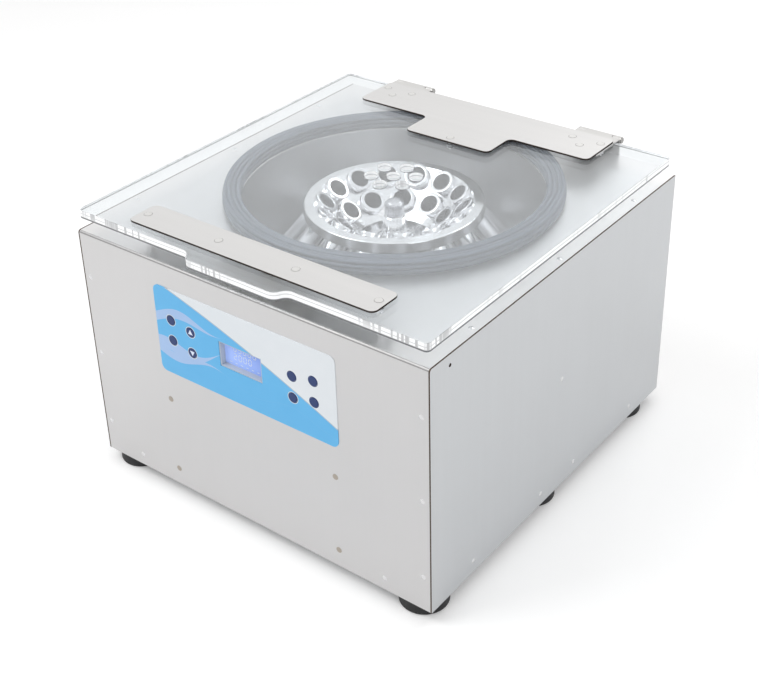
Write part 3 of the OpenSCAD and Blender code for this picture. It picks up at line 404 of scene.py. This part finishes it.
# %% [markdown]
# The front keypad is one printed film. Cutting it up into coloured pieces would leave steps that
# the real film doesn't have, so its colours are worked out from the place on it: a blue field, a
# pale field above a bowed border with a thin silver line, three wavy ribbons that thin out, and a
# navy disc with a pale ring printed round each key.

# %% Printed film
key_boxes = [corners("key_%d" % n) for n in range(1, 9)]
key_r = (key_boxes[0][1][0] - key_boxes[0][0][0]) / 2
key_mid = [(low + high) / 2 for low, high in key_boxes]
pad_mid = (pad_lo + pad_hi) / 2
NAVY = (18, 48, 106)
# Ribbons: middle height, slope, swell, phase and half width, in millimetres and radians
RIBBONS = [(34, 0.10, 8, 0.4, 7.0), (2, 0.22, 10, 2.2, 9.0), (-36, -0.06, 7, 4.1, 6.0)]
# Millimetres per radian of the ribbons' waves; the border's height, slope and bow; how far the
# navy disc and the pale ring reach past a key
WAVE, BORDER, DISC_OUT, RING_OUT = 21.0, (24.0, 0.366, 0.00035), 1.1, 1.9
# Radians per metre of the display's grid of dots
DOT_WAVE = 7800.0


def near(f, x, z, r, soft=0.3):
    """1 inside a circle of radius r millimetres about (x, z) on the front, 0 outside."""
    dx, dz = f.x * TO_MM - x, f.z * TO_MM - z
    return 1.0 - (dx * dx + dz * dz).root().rise(r - soft, r + soft)


def printed_film(name):
    f = Finish(name)
    slow = f.noise(26.0, 3.0)
    blue = f.blend(slow, rgb(86, 178, 232), rgb(98, 186, 238))
    lilac = f.blend(slow, rgb(158, 190, 232), rgb(170, 198, 238))
    paper = f.blend(slow, rgb(222, 228, 233), rgb(231, 235, 239))
    u, v = f.x * TO_MM - pad_mid[0], f.z * TO_MM - pad_mid[2]
    waves = 0.0
    for height, slope, swell, phase, half in RIBBONS:
        off = abs(v - (u * slope + height) - (u / WAVE + phase).sine() * swell)
        width = u.rise(-118, -30, half, 0.0)
        waves = (width - off).rise(-0.2, 0.2).highest(waves)
    colour = f.blend(waves, blue, lilac)
    above = v - (BORDER[0] - u * BORDER[1] - u * u * BORDER[2])
    colour = f.blend(above.rise(-0.3, 0.3), colour, rgb(190, 194, 202))
    colour = f.blend(above.rise(1.2, 1.7), colour, paper)
    rings, discs = 0.0, 0.0
    for mid in key_mid:
        rings = near(f, mid[0], mid[2], key_r + RING_OUT).highest(rings)
        discs = near(f, mid[0], mid[2], key_r + DISC_OUT).highest(discs)
    colour = f.blend(discs, f.blend(rings, colour, rgb(228, 234, 241)), rgb(*NAVY))
    return f.done(f.principled(Base_Color=colour, Roughness=0.36 + (slow - 0.5) * 0.08,
                               Coat_Weight=0.1, Coat_Roughness=0.3,
                               Normal=f.bump(f.noise(1300.0), 0.04, 0.0001)))


def lit_display(name):
    """A back-lit window, violet blue and brighter to its lower left, with a faint grid of dots."""
    f = Finish(name)
    low, high = corners("display_glass")
    u = (f.x * TO_MM - low[0]) / (high[0] - low[0])
    v = (f.z * TO_MM - low[2]) / (high[2] - low[2])
    glow = (0.9 - u * 0.5 - v * 0.3).rise(0.0, 1.0)
    dots = (f.x * DOT_WAVE).sine() * (f.z * DOT_WAVE).sine()
    colour = f.tone(f.blend(glow, rgb(112, 140, 208), rgb(160, 184, 240)), 1.0 + dots * 0.03)
    return f.done(f.principled(Base_Color=colour, Roughness=0.2, Emission_Color=colour,
                               Emission_Strength=0.35))


print("film and display ready, key radius %.1f mm" % key_r)

# %% [markdown]
# Now every solid gets its finish. The record names a material slot for each, so one table from slot
# to finish dresses the whole machine, and a solid that changes its slot changes its looks with it.

# %% Finishes by slot
looks = {
    "cabinet_steel": brushed("cabinet_steel", rgb(211, 210, 210), 0.38, 2, streaky=0.03,
                             deep=0.07, painted_fold_shade_top_light=True),
    "side_steel": brushed("side_steel", rgb(208, 210, 212), 0.4, 2, cut=0),
    "plate_steel": brushed("plate_steel", rgb(217, 216, 215), 0.42, 0, cut=2, cloudy=0.03,
                           burnt=(38, 30, 26)),
    "hinge_steel": brushed("hinge_steel", rgb(212, 211, 209), 0.34, 0),
    "bowl_steel": brushed("bowl_steel", rgb(228, 228, 230), 0.34, 2, cloudy=0.1),
    "zinc_sheet": plated("zinc_sheet", rgb(188, 190, 193), 0.42, 120.0),
    "screw_steel": plated("screw_steel", rgb(206, 206, 208), 0.28),
    "stud_steel": plated("stud_steel", rgb(219, 218, 216), 0.4),
    "pin_steel": plated("pin_steel", rgb(166, 165, 163), 0.32),
    "guard_wire": plated("guard_wire", rgb(212, 212, 216), 0.2),
    "rivet_aluminium": plated("rivet_aluminium", rgb(224, 224, 225), 0.26),
    "rotor_aluminium": turned("rotor_aluminium", rgb(250, 250, 251), 0.15),
    "sleeve_aluminium": turned("sleeve_aluminium", rgb(248, 248, 250), 0.17, 0.02),
    "knob_steel": turned("knob_steel", rgb(214, 215, 218), 0.24),
    "stud_weld": moulded("stud_weld", rgb(170, 160, 148), 0.5, 500.0),
    "foot_rubber": moulded("foot_rubber", rgb(24, 24, 26), 0.6, 420.0, 0.3),
    "gasket_rubber": seal_rubber("gasket_rubber"),
    "motor_paint": moulded("motor_paint", rgb(62, 66, 72), 0.45),
    "white_nylon": moulded("white_nylon", rgb(236, 236, 232), 0.4),
    "black_plastic": moulded("black_plastic", rgb(30, 30, 32), 0.5, 1500.0, 0.2),
    "rocker_plastic": moulded("rocker_plastic", rgb(20, 20, 22), 0.3),
    "keypad_film": printed_film("keypad_film"),
    "key_navy": moulded("key_navy", rgb(*NAVY), 0.4, 1300.0, 0.05),
    "reveal_plastic": moulded("reveal_plastic", rgb(192, 198, 204), 0.35),
    "display_blue": lit_display("display_blue"),
    "display_white": moulded("display_white", rgb(222, 232, 250), 0.4),
    "board_green": moulded("board_green", rgb(34, 92, 58), 0.35),
    "lid_acrylic": acrylic("lid_acrylic"),
}
for part in frame["record"]["subparts"]:
    solid = frame["nodes"][part["node"]]
    solid.data.materials.clear()
    solid.data.materials.append(looks[part["material_slot"]])
print("dressed", len(frame["nodes"]), "solids in", len(looks), "finishes")

# %% [markdown]
# Three flat plates lie over the bowl: the clear lid, the steel strip at its front and the T-shaped
# plate at the hinges. A flat solid has edges that are too sharp to catch any light, and a Bevel
# modifier stumbles over many holes. So an outline and its holes are drawn as loops, each loop is
# moved inwards by the width of the chamfer at both faces, and the faces between are filled.

# %% A plate with chamfered edges
def inset(loop, by):
    """Moves a closed loop towards its left side: each point goes along the mean of its two edges'
    left normals, divided by how far that mean leans from them, so that both edges move alike."""
    ahead = np.roll(loop, -1, 0) - loop
    ahead /= np.linalg.norm(ahead, axis=1)[:, None]
    left = np.stack([-ahead[:, 1], ahead[:, 0]], -1)
    mean = left + np.roll(left, 1, 0)
    mean /= np.linalg.norm(mean, axis=1)[:, None]
    return loop + by * mean / np.maximum((mean * left).sum(1), 0.5)[:, None]


def plate(name, loops, low, high, chamfer):
    """Loops run with the material on their left: the outline anticlockwise, holes clockwise.
    Each is stacked at (low, inset), (low + chamfer, 0), (high - chamfer, 0) and (high, inset)."""
    points, faces, caps, start = [], [], ([], []), 0
    for loop in loops:
        n = len(loop)
        tight = inset(loop, chamfer)
        rows = [(tight, low), (loop, low + chamfer), (loop, high - chamfer), (tight, high)]
        points.append(np.concatenate([np.column_stack([flat, np.full(n, z)]) for flat, z in rows]))
        faces += (grid_faces(4, n) + start).tolist()
        caps[0].append((start, tight))
        caps[1].append((start + 3 * n, tight))
        start += 4 * n
    for cap, turned_over in ((caps[0], True), (caps[1], False)):
        index = np.concatenate([first + np.arange(len(flat)) for first, flat in cap])
        flat = np.concatenate([flat for _, flat in cap])
        tris = np.array(tessellate_polygon([[Vector((*p, 0)) for p in loop] for _, loop in cap]))
        a, b, c = (flat[tris[:, k]] for k in range(3))
        up = ((b - a)[:, 0] * (c - a)[:, 1] - (b - a)[:, 1] * (c - a)[:, 0]) > 0
        flip = up == turned_over
        tris[flip] = tris[flip][:, ::-1]
        faces += index[tris].tolist()
    return to_mesh(name, np.concatenate(points), faces)


def round_loop(x0, x1, y0, y1, r, n=10):
    """A rectangle with round corners, anticlockwise from its lower right corner."""
    return np.concatenate([bend(x1 - r, y0 + r, r, -90, 0, n), bend(x1 - r, y1 - r, r, 0, 90, n),
                           bend(x0 + r, y1 - r, r, 90, 180, n),
                           bend(x0 + r, y0 + r, r, 180, 270, n)])


def hole(x, y, r, n=48):
    """A circle that runs clockwise, so that the material is on its left."""
    return bend(x, y, r, 0, -360, n + 1)[:-1]


print("plates ready")

# %% [markdown]
# The lid's front edge swings out into a pull tab. Each flank of the tab is two equal arcs, a hollow
# one and a bulging one, that meet half way and share a tangent there; from the tab's depth and
# width follows their one radius. Studs pass through the lid, and seven holes over the rotor let
# the air in.

# %% The clear lid
TAB_BASE, TAB_FRONT, LID_R, LID_BACK, LID_EDGE = 87.0, 62.0, 6.0, 1.6, 0.5
STRIP_X, STUD_HOLE_R = (-183.5, -61.5, 61.5, 183.5), 3.25
LEAF_X, LEAF_HALF, VENT_RING, VENT_R = 160.0, 22, 30.0, 9.2
edge_y = front_y + LID_BACK
out = edge_y - lid_lo[1]
tab_r = ((TAB_BASE - TAB_FRONT) ** 2 + out ** 2) / (4 * out)
turn = math.degrees(2 * math.atan2(out, TAB_BASE - TAB_FRONT))
flank = np.concatenate([bend(TAB_FRONT, lid_lo[1] + tab_r, tab_r, -90, -90 + turn, 14),
                        bend(TAB_BASE, edge_y - tab_r, tab_r, 90 + turn, 90, 14)[1:]])
body_loop = round_loop(lid_lo[0], lid_hi[0], edge_y, lid_hi[1], LID_R, 8)
lid_outline = np.concatenate([flank, body_loop, flank[::-1] * [-1, 1]])

strip_y = (strip_lo[1] + strip_hi[1]) / 2
strip_studs = [(x, strip_y) for x in STRIP_X]
leaf_front, leaf_back = rear_y - 54, rear_y - 35
tee_studs = [(s * (LEAF_X + k), leaf_back) for s in (-1, 1) for k in (-LEAF_HALF, LEAF_HALF)]
tee_studs += [(s * LEAF_X, leaf_front) for s in (-1, 1)] + [(0.0, tee_lo[1] + 12)]
vent_at = np.concatenate([[[0.0, axis_y]], bend(0, axis_y, VENT_RING, 30, 330, 6)])
vent_loops = [hole(x, y, VENT_R, 56) for x, y in vent_at]
stud_loops = [hole(x, y, STUD_HOLE_R, 24) for x, y in strip_studs + tee_studs]
lid_loops = [lid_outline] + vent_loops + stud_loops
lid = plate("clear_lid", lid_loops, lid_lo[2], lid_hi[2], LID_EDGE)
dress(lid, "lid", looks["lid_acrylic"], "lid_acrylic", "lid_sheet")

# %% [markdown]
# Strip and hinge plate are plain sheet on spacers, with the heads of their studs set in flush.

# %% Strip and hinge plate
PLATE_R, PLATE_EDGE, STUD_R, TONGUE_W, BAR_D = 9.0, 0.35, 5.2, 140.0, 77.0
strip_outline = round_loop(strip_lo[0], strip_hi[0], strip_lo[1], strip_hi[1], PLATE_R)
strip_loops = [strip_outline] + [hole(x, y, STUD_R, 32) for x, y in strip_studs]
strip = plate("strip_plate", strip_loops, strip_lo[2], strip_hi[2], PLATE_EDGE)
dress(strip, "lid", looks["plate_steel"], "plate_steel", "front_strip")

y0, (x1, y1) = tee_lo[1], tee_hi[:2]
bar, half, r = y1 - BAR_D, TONGUE_W / 2, PLATE_R
right_side = np.concatenate([bend(half - r, y0 + r, r, -90, 0, 10),
                             bend(half + r, bar - r, r, 180, 90, 10),
                             bend(x1 - r, bar + r, r, -90, 0, 10),
                             bend(x1 - r, y1 - r, r, 0, 90, 10)])
tee_outline = np.concatenate([right_side, right_side[::-1] * [-1, 1]])
tee_loops = [tee_outline] + [hole(x, y, STUD_R, 32) for x, y in tee_studs]
tee = plate("hinge_tee", tee_loops, tee_lo[2], tee_hi[2], PLATE_EDGE)
dress(tee, "lid", looks["plate_steel"], "plate_steel", "hinge_plate")

# %% [markdown]
# The seal round the bowl is an extruded rubber profile with round ribs. A profile drawn by hand
# would need dozens of typed points. Here a ray goes out from the middle of the block at each
# angle, and the profile lies where the ray leaves the last of the block, the foot and the ribs.

# %% The ribbed seal
SEAL_IN, SEAL_W, RIB_R, SEAL_POINTS, SEAL_TURNS = 206.0, 20.0, 2.6, 200, 192
seal_z, seal_top = seal_lo[2], seal_hi[2] - RIB_R - seal_lo[2]
seal_mid, seal_out = SEAL_IN + SEAL_W / 2, SEAL_IN + SEAL_W
# The ribs' centres: four along the top, two outside and two inside
RIBS = np.array([(SEAL_IN + 0.5, seal_top), (seal_mid - 3.2, seal_top),
                 (seal_mid + 3.4, seal_top), (seal_out - 1.6, seal_top), (seal_out, 5.0),
                 (seal_out, 10.6), (SEAL_IN, 4.4), (SEAL_IN, 10.2)])


def far_side(n):
    """For n rays at the angles t from the block's middle: the farthest of the block's wall, at
    half width over |cos t| or half height over |sin t|, and each rib circle's second crossing,
    which is p + sqrt(R R - q q) with p and q the rib's centre along and across the ray."""
    t = np.arange(n) * 2 * np.pi / n
    ray = np.stack([np.cos(t), np.sin(t)], -1)
    middle = np.array([seal_mid, seal_top / 2])
    lean = np.maximum(abs(ray), 1e-9)
    reach = np.minimum(SEAL_W / 2 / lean[:, 0], seal_top / 2 / lean[:, 1])
    to_rib = RIBS - middle
    along = ray @ to_rib.T
    across = ray[:, :1] * to_rib[:, 1] - ray[:, 1:] * to_rib[:, 0]
    inside = RIB_R ** 2 - across ** 2
    leave = np.where(inside > 0, along + np.sqrt(np.maximum(inside, 0)), 0)
    return middle + ray * np.maximum(reach, leave.max(1))[:, None]


seal_profile = far_side(SEAL_POINTS) + [0, seal_z]
seal_points = spun(seal_profile, SEAL_TURNS) + [axis_x, axis_y, 0]
seal_faces = grid_faces(SEAL_POINTS, SEAL_TURNS, wrap_rows=True)
seal = to_mesh("ribbed_seal", seal_points, seal_faces, 50)
dress(seal, "cabinet", looks["gasket_rubber"], "gasket_rubber", "bowl_gasket")

# %% [markdown]
# The sleeves that hold the sample tubes are drawn aluminium thimbles with a rolled lip. One
# profile is spun into one thimble, and numpy copies it to all its places at once: shifted out
# from the axis, leaned inwards, and turned round the rotor.

# %% The sleeves
SLEEVE_TURNS = 40


def thimble_profile():
    """From the round bottom up the outside, over the lip and down the bore: (r, distance along)."""
    lip = 1.0
    bottom = bend(0, TUBE_R - TUBE_L, TUBE_R, -89, 0, 10)
    outside = [(TUBE_R, -NECK_L), (NECK_R, -NECK_L + 0.6), (NECK_R, -FLANGE_T),
               (FLANGE_R - 0.4, -FLANGE_T)]
    outer_lip = bend(FLANGE_R - lip, -lip, lip, 0, 90, 7)
    inner_lip = bend(BORE_R + lip, -lip, lip, 90, 180, 7)
    inner_bottom = bend(0, TUBE_R - TUBE_L, BORE_R, 0, -89, 10)
    return np.concatenate([bottom, outside, outer_lip, inner_lip, inner_bottom])


def sleeve_row(name, count, radius, first, top):
    """Each thimble (x, y, z) is leaned by the angle t: x cos t - z sin t, y, x sin t + z cos t,
    then shifted out by the row's radius and turned about the rotor's axis by its place in the
    row, the angle a: x cos a - y sin a, x sin a + y cos a, z."""
    profile = thimble_profile()
    shape = spun(profile, SLEEVE_TURNS)
    t = math.radians(TILT)
    x, y, z = shape[..., 0], shape[..., 1], shape[..., 2]
    leaned_x = x * math.cos(t) - z * math.sin(t) + radius
    leaned_z = x * math.sin(t) + z * math.cos(t)
    a = np.radians(first - np.arange(count) * 360 / count)[:, None, None]
    turned_x = leaned_x * np.cos(a) - y * np.sin(a)
    turned_y = leaned_x * np.sin(a) + y * np.cos(a)
    height = np.broadcast_to(leaned_z + top, turned_x.shape)
    points = np.stack([turned_x + axis_x, turned_y + axis_y, height], -1)
    one, rows = len(profile) * SLEEVE_TURNS, len(profile)
    faces = [grid_faces(rows, SLEEVE_TURNS) + k * one for k in range(count)]
    faces = np.concatenate(faces).tolist()
    for k in range(count):
        outer_end = k * one + np.arange(SLEEVE_TURNS)
        faces.append(outer_end[::-1].tolist())
        faces.append((outer_end + one - SLEEVE_TURNS).tolist())
    return to_mesh(name, points, faces)


rim_z = dish_hi[2]
mouth_z = rim_z - RIM_IN_R + MOUTH_UP
for title, (count, radius, first) in (("outer_sleeves", OUTER), ("inner_sleeves", INNER)):
    name = title.replace("sleeves", "thimbles")
    row = sleeve_row(name, count, radius, first, mouth_z + radius)
    dress(row, "rotor", looks["sleeve_aluminium"], "sleeve_aluminium", title)

# %% [markdown]
# A small nut with a fluted grip holds the rotor down. Its flutes are soft grooves, so its radius
# falls by a power of a cosine of the angle. The grooves end at a smooth collar below and at a
# smooth dome above.

# %% The fluted knob
FLUTES, GROOVE, KNOB_TURNS = 24, 1.5, 300
knob_r, knob_h = (knob_hi[0] - knob_lo[0]) / 2, knob_hi[2] - knob_lo[2]


def knob_surface():
    """At the angle a and the row t: radius = knob_r R(t) - GROOVE D(t) (0.5 + 0.5 cos(FLUTES a))
    to the power 4, height = knob_h Z(t). Each row of the profile holds R, Z and D; D is 1 along
    the grip and 0 beyond it."""
    shape = np.array([
        (0.02, 0, 0), (0.5, 0, 0), (0.95, 0, 0), (1, 0.03, 0), (1, 0.07, 0), (0.98, 0.1, 1),
        (1, 0.2, 1), (1, 0.5, 1), (1, 0.76, 1), (0.97, 0.82, 1), (0.9, 0.84, 0), (0.83, 0.86, 0),
        (0.82, 0.9, 0), (0.75, 0.945, 0), (0.6, 0.975, 0), (0.42, 0.99, 0), (0.2, 1, 0),
        (0.02, 1, 0)])
    a = np.arange(KNOB_TURNS) * 2 * np.pi / KNOB_TURNS
    groove = GROOVE * (0.5 + 0.5 * np.cos(FLUTES * a)) ** 4
    radius = knob_r * shape[:, :1] - shape[:, 2:] * groove
    height = np.broadcast_to(knob_lo[2] + knob_h * shape[:, 1:2], radius.shape)
    return spun(np.stack([radius, height], -1), KNOB_TURNS) + [axis_x, axis_y, 0]


knob_points = knob_surface()
knob_rows, foot_ring = len(knob_points), list(range(KNOB_TURNS))
knob_faces = grid_faces(knob_rows, KNOB_TURNS).tolist()
knob_faces += [foot_ring[::-1], [(knob_rows - 1) * KNOB_TURNS + k for k in foot_ring]]
knob = to_mesh("fluted_knob", knob_points, knob_faces, 40)
dress(knob, "knob", looks["knob_steel"], "knob_steel", "rotor_knob")

# %% [markdown]
# Two keys carry a printed arrowhead. They move with their keys, so each is a wafer of ink of its
# own, standing a few hundredths of a millimetre proud of the key.

# %% Arrows on the keys
ARROW_HALF, ARROW_BASE, ARROW_TIP = 3.9, 2.9, 4.2
INK_PROUD, INK_T = 0.03, 0.05


def arrowhead(key, way):
    """A flat triangle in the plane of the key's face: its tip lies way * ARROW_TIP above the
    middle and its base way * ARROW_BASE below it."""
    low, high = corners(key)
    x, z = (low[0] + high[0]) / 2, (low[2] + high[2]) / 2
    flat = np.array([(-ARROW_HALF, -ARROW_BASE), (ARROW_HALF, -ARROW_BASE), (0, ARROW_TIP)]) * way
    front = np.column_stack([x + flat[:, 0], np.full(3, low[1] - INK_PROUD), z + flat[:, 1]])
    back = front + [0, INK_T, 0]
    return to_mesh("arrow_" + key, np.concatenate([front, back]),
                   [(0, 1, 2), (5, 4, 3), (0, 3, 4, 1), (1, 4, 5, 2), (2, 5, 3, 0)])


for key, way in (("key_3", 1), ("key_4", -1)):
    dress(arrowhead(key, way), key, looks["display_white"], "display_white")

# %% [markdown]
# The machine stands on a plain white floor. The floor is lit like everything else, and for the
# camera a little white is added to it, so that it joins the white background while the soft
# shadow under the machine stays.

# %% Floor
FLOOR_HALF = 9000


def white_floor():
    f = Finish("floor")
    slow = f.noise(2.0, 3.0)
    body = f.principled(Base_Color=f.tone(rgb(250, 250, 250), 0.99 + slow * 0.02), Roughness=0.6)
    seen = f.node("ShaderNodeLightPath", out="Is Camera Ray")
    lift = f.node("ShaderNodeEmission", None, {"Color": (1, 1, 1), "Strength": seen * 0.12})
    ends = [(-1, -1, 0), (1, -1, 0), (1, 1, 0), (-1, 1, 0)]
    floor = to_mesh("floor", np.array(ends) * FLOOR_HALF, [(0, 1, 2, 3)])
    floor.data.materials.append(f.done(f.node("ShaderNodeAddShader", None, {0: body, 1: lift})))


white_floor()
print("floor laid")

# %% [markdown]
# Studio light: a white surround that camera, mirror and glass rays see at full strength, a dimmer
# one for everything else, and three broad soft lamps. Broad lamps keep the shadows soft, and a
# plain level keeps colours as they were written.

# %% Surround and lamps
DIM, FULL = 0.62, 1.0
world = bpy.data.worlds.new("studio")
bpy.context.scene.world = world
world.use_nodes = True
tree = world.node_tree
tree.nodes.clear()
rays = tree.nodes.new("ShaderNodeLightPath")


def either(first, second):
    """1 where one of two sockets is 1."""
    most = tree.nodes.new("ShaderNodeMath")
    most.operation = "MAXIMUM"
    tree.links.new(first, most.inputs[0])
    tree.links.new(second, most.inputs[1])
    return most.outputs[0]


backdrops = []
for strength in (DIM, FULL):
    backdrop = tree.nodes.new("ShaderNodeBackground")
    backdrop.inputs["Color"].default_value = (1, 1, 1, 1)
    backdrop.inputs["Strength"].default_value = strength
    backdrops.append(backdrop)
mixed = tree.nodes.new("ShaderNodeMixShader")
mirrored = either(rays.outputs["Is Glossy Ray"], rays.outputs["Is Transmission Ray"])
seen = either(rays.outputs["Is Camera Ray"], mirrored)
tree.links.new(seen, mixed.inputs[0])
tree.links.new(backdrops[0].outputs[0], mixed.inputs[1])
tree.links.new(backdrops[1].outputs[0], mixed.inputs[2])
tree.links.new(mixed.outputs[0], tree.nodes.new("ShaderNodeOutputWorld").inputs["Surface"])


LIT_POINT = Vector((0, 0, 0.25))


def lamp(name, place, size, watts):
    """A soft rectangle of light at place, in metres, turned towards the machine's middle."""
    light = bpy.data.lights.new(name, "AREA")
    light.shape, light.size, light.size_y, light.energy = "RECTANGLE", size[0], size[1], watts
    holder = bpy.data.objects.new(name, light)
    holder.visible_camera = False
    bpy.context.collection.objects.link(holder)
    holder.location = place
    holder.rotation_mode = "QUATERNION"
    holder.rotation_quaternion = (LIT_POINT - Vector(place)).to_track_quat("-Z", "Y")


lamp("window_lamp", (-1.4, -1.5, 2.6), (1.8, 1.8), 36)
lamp("side_lamp", (2.4, -0.8, 1.7), (1.6, 1.6), 14)
lamp("rear_lamp", (0.4, 2.2, 2.4), (2.0, 1.2), 20)
print("three lamps")

# %% [markdown]
# The camera repeats the photograph's: how far round, how high and how far it stood, its slight
# roll and its lens were fitted to the corners of the cabinet and to the circles of the bowl.

# %% Camera
ROUND, HIGH, ROLL = math.radians(38.96), math.radians(28.89), math.radians(-2.06)
# AWAY is in metres; the focal length, the picture's sides and the lens's middle are in pixels
AWAY, FOCAL, WIDE, TALL, MIDDLE = 1.8066, 1351.1, 759, 677, (360.3, 246.6)
aim = Vector((-0.01344, -0.0345, 0.31156))
back = Vector((math.sin(ROUND) * math.cos(HIGH), -math.cos(ROUND) * math.cos(HIGH), math.sin(HIGH)))
level = (-back).cross(Vector((0, 0, 1))).normalized()
above = level.cross(-back)
right = level * math.cos(ROLL) + above * math.sin(ROLL)
over = above * math.cos(ROLL) - level * math.sin(ROLL)
lens = bpy.data.cameras.new("camera")
lens.sensor_width = 36.0
lens.lens = lens.sensor_width * FOCAL / WIDE
lens.shift_x, lens.shift_y = (WIDE / 2 - MIDDLE[0]) / WIDE, (MIDDLE[1] - TALL / 2) / WIDE
camera = bpy.data.objects.new("camera", lens)
bpy.context.collection.objects.link(camera)
facing = Matrix((right, over, back)).transposed().to_4x4()
camera.matrix_world = Matrix.Translation(aim + back * AWAY) @ facing
bpy.context.scene.camera = camera
bpy.context.scene.view_settings.view_transform = "Standard"
print("lens %.1f mm, shift %.4f %.4f" % (lens.lens, lens.shift_x, lens.shift_y))
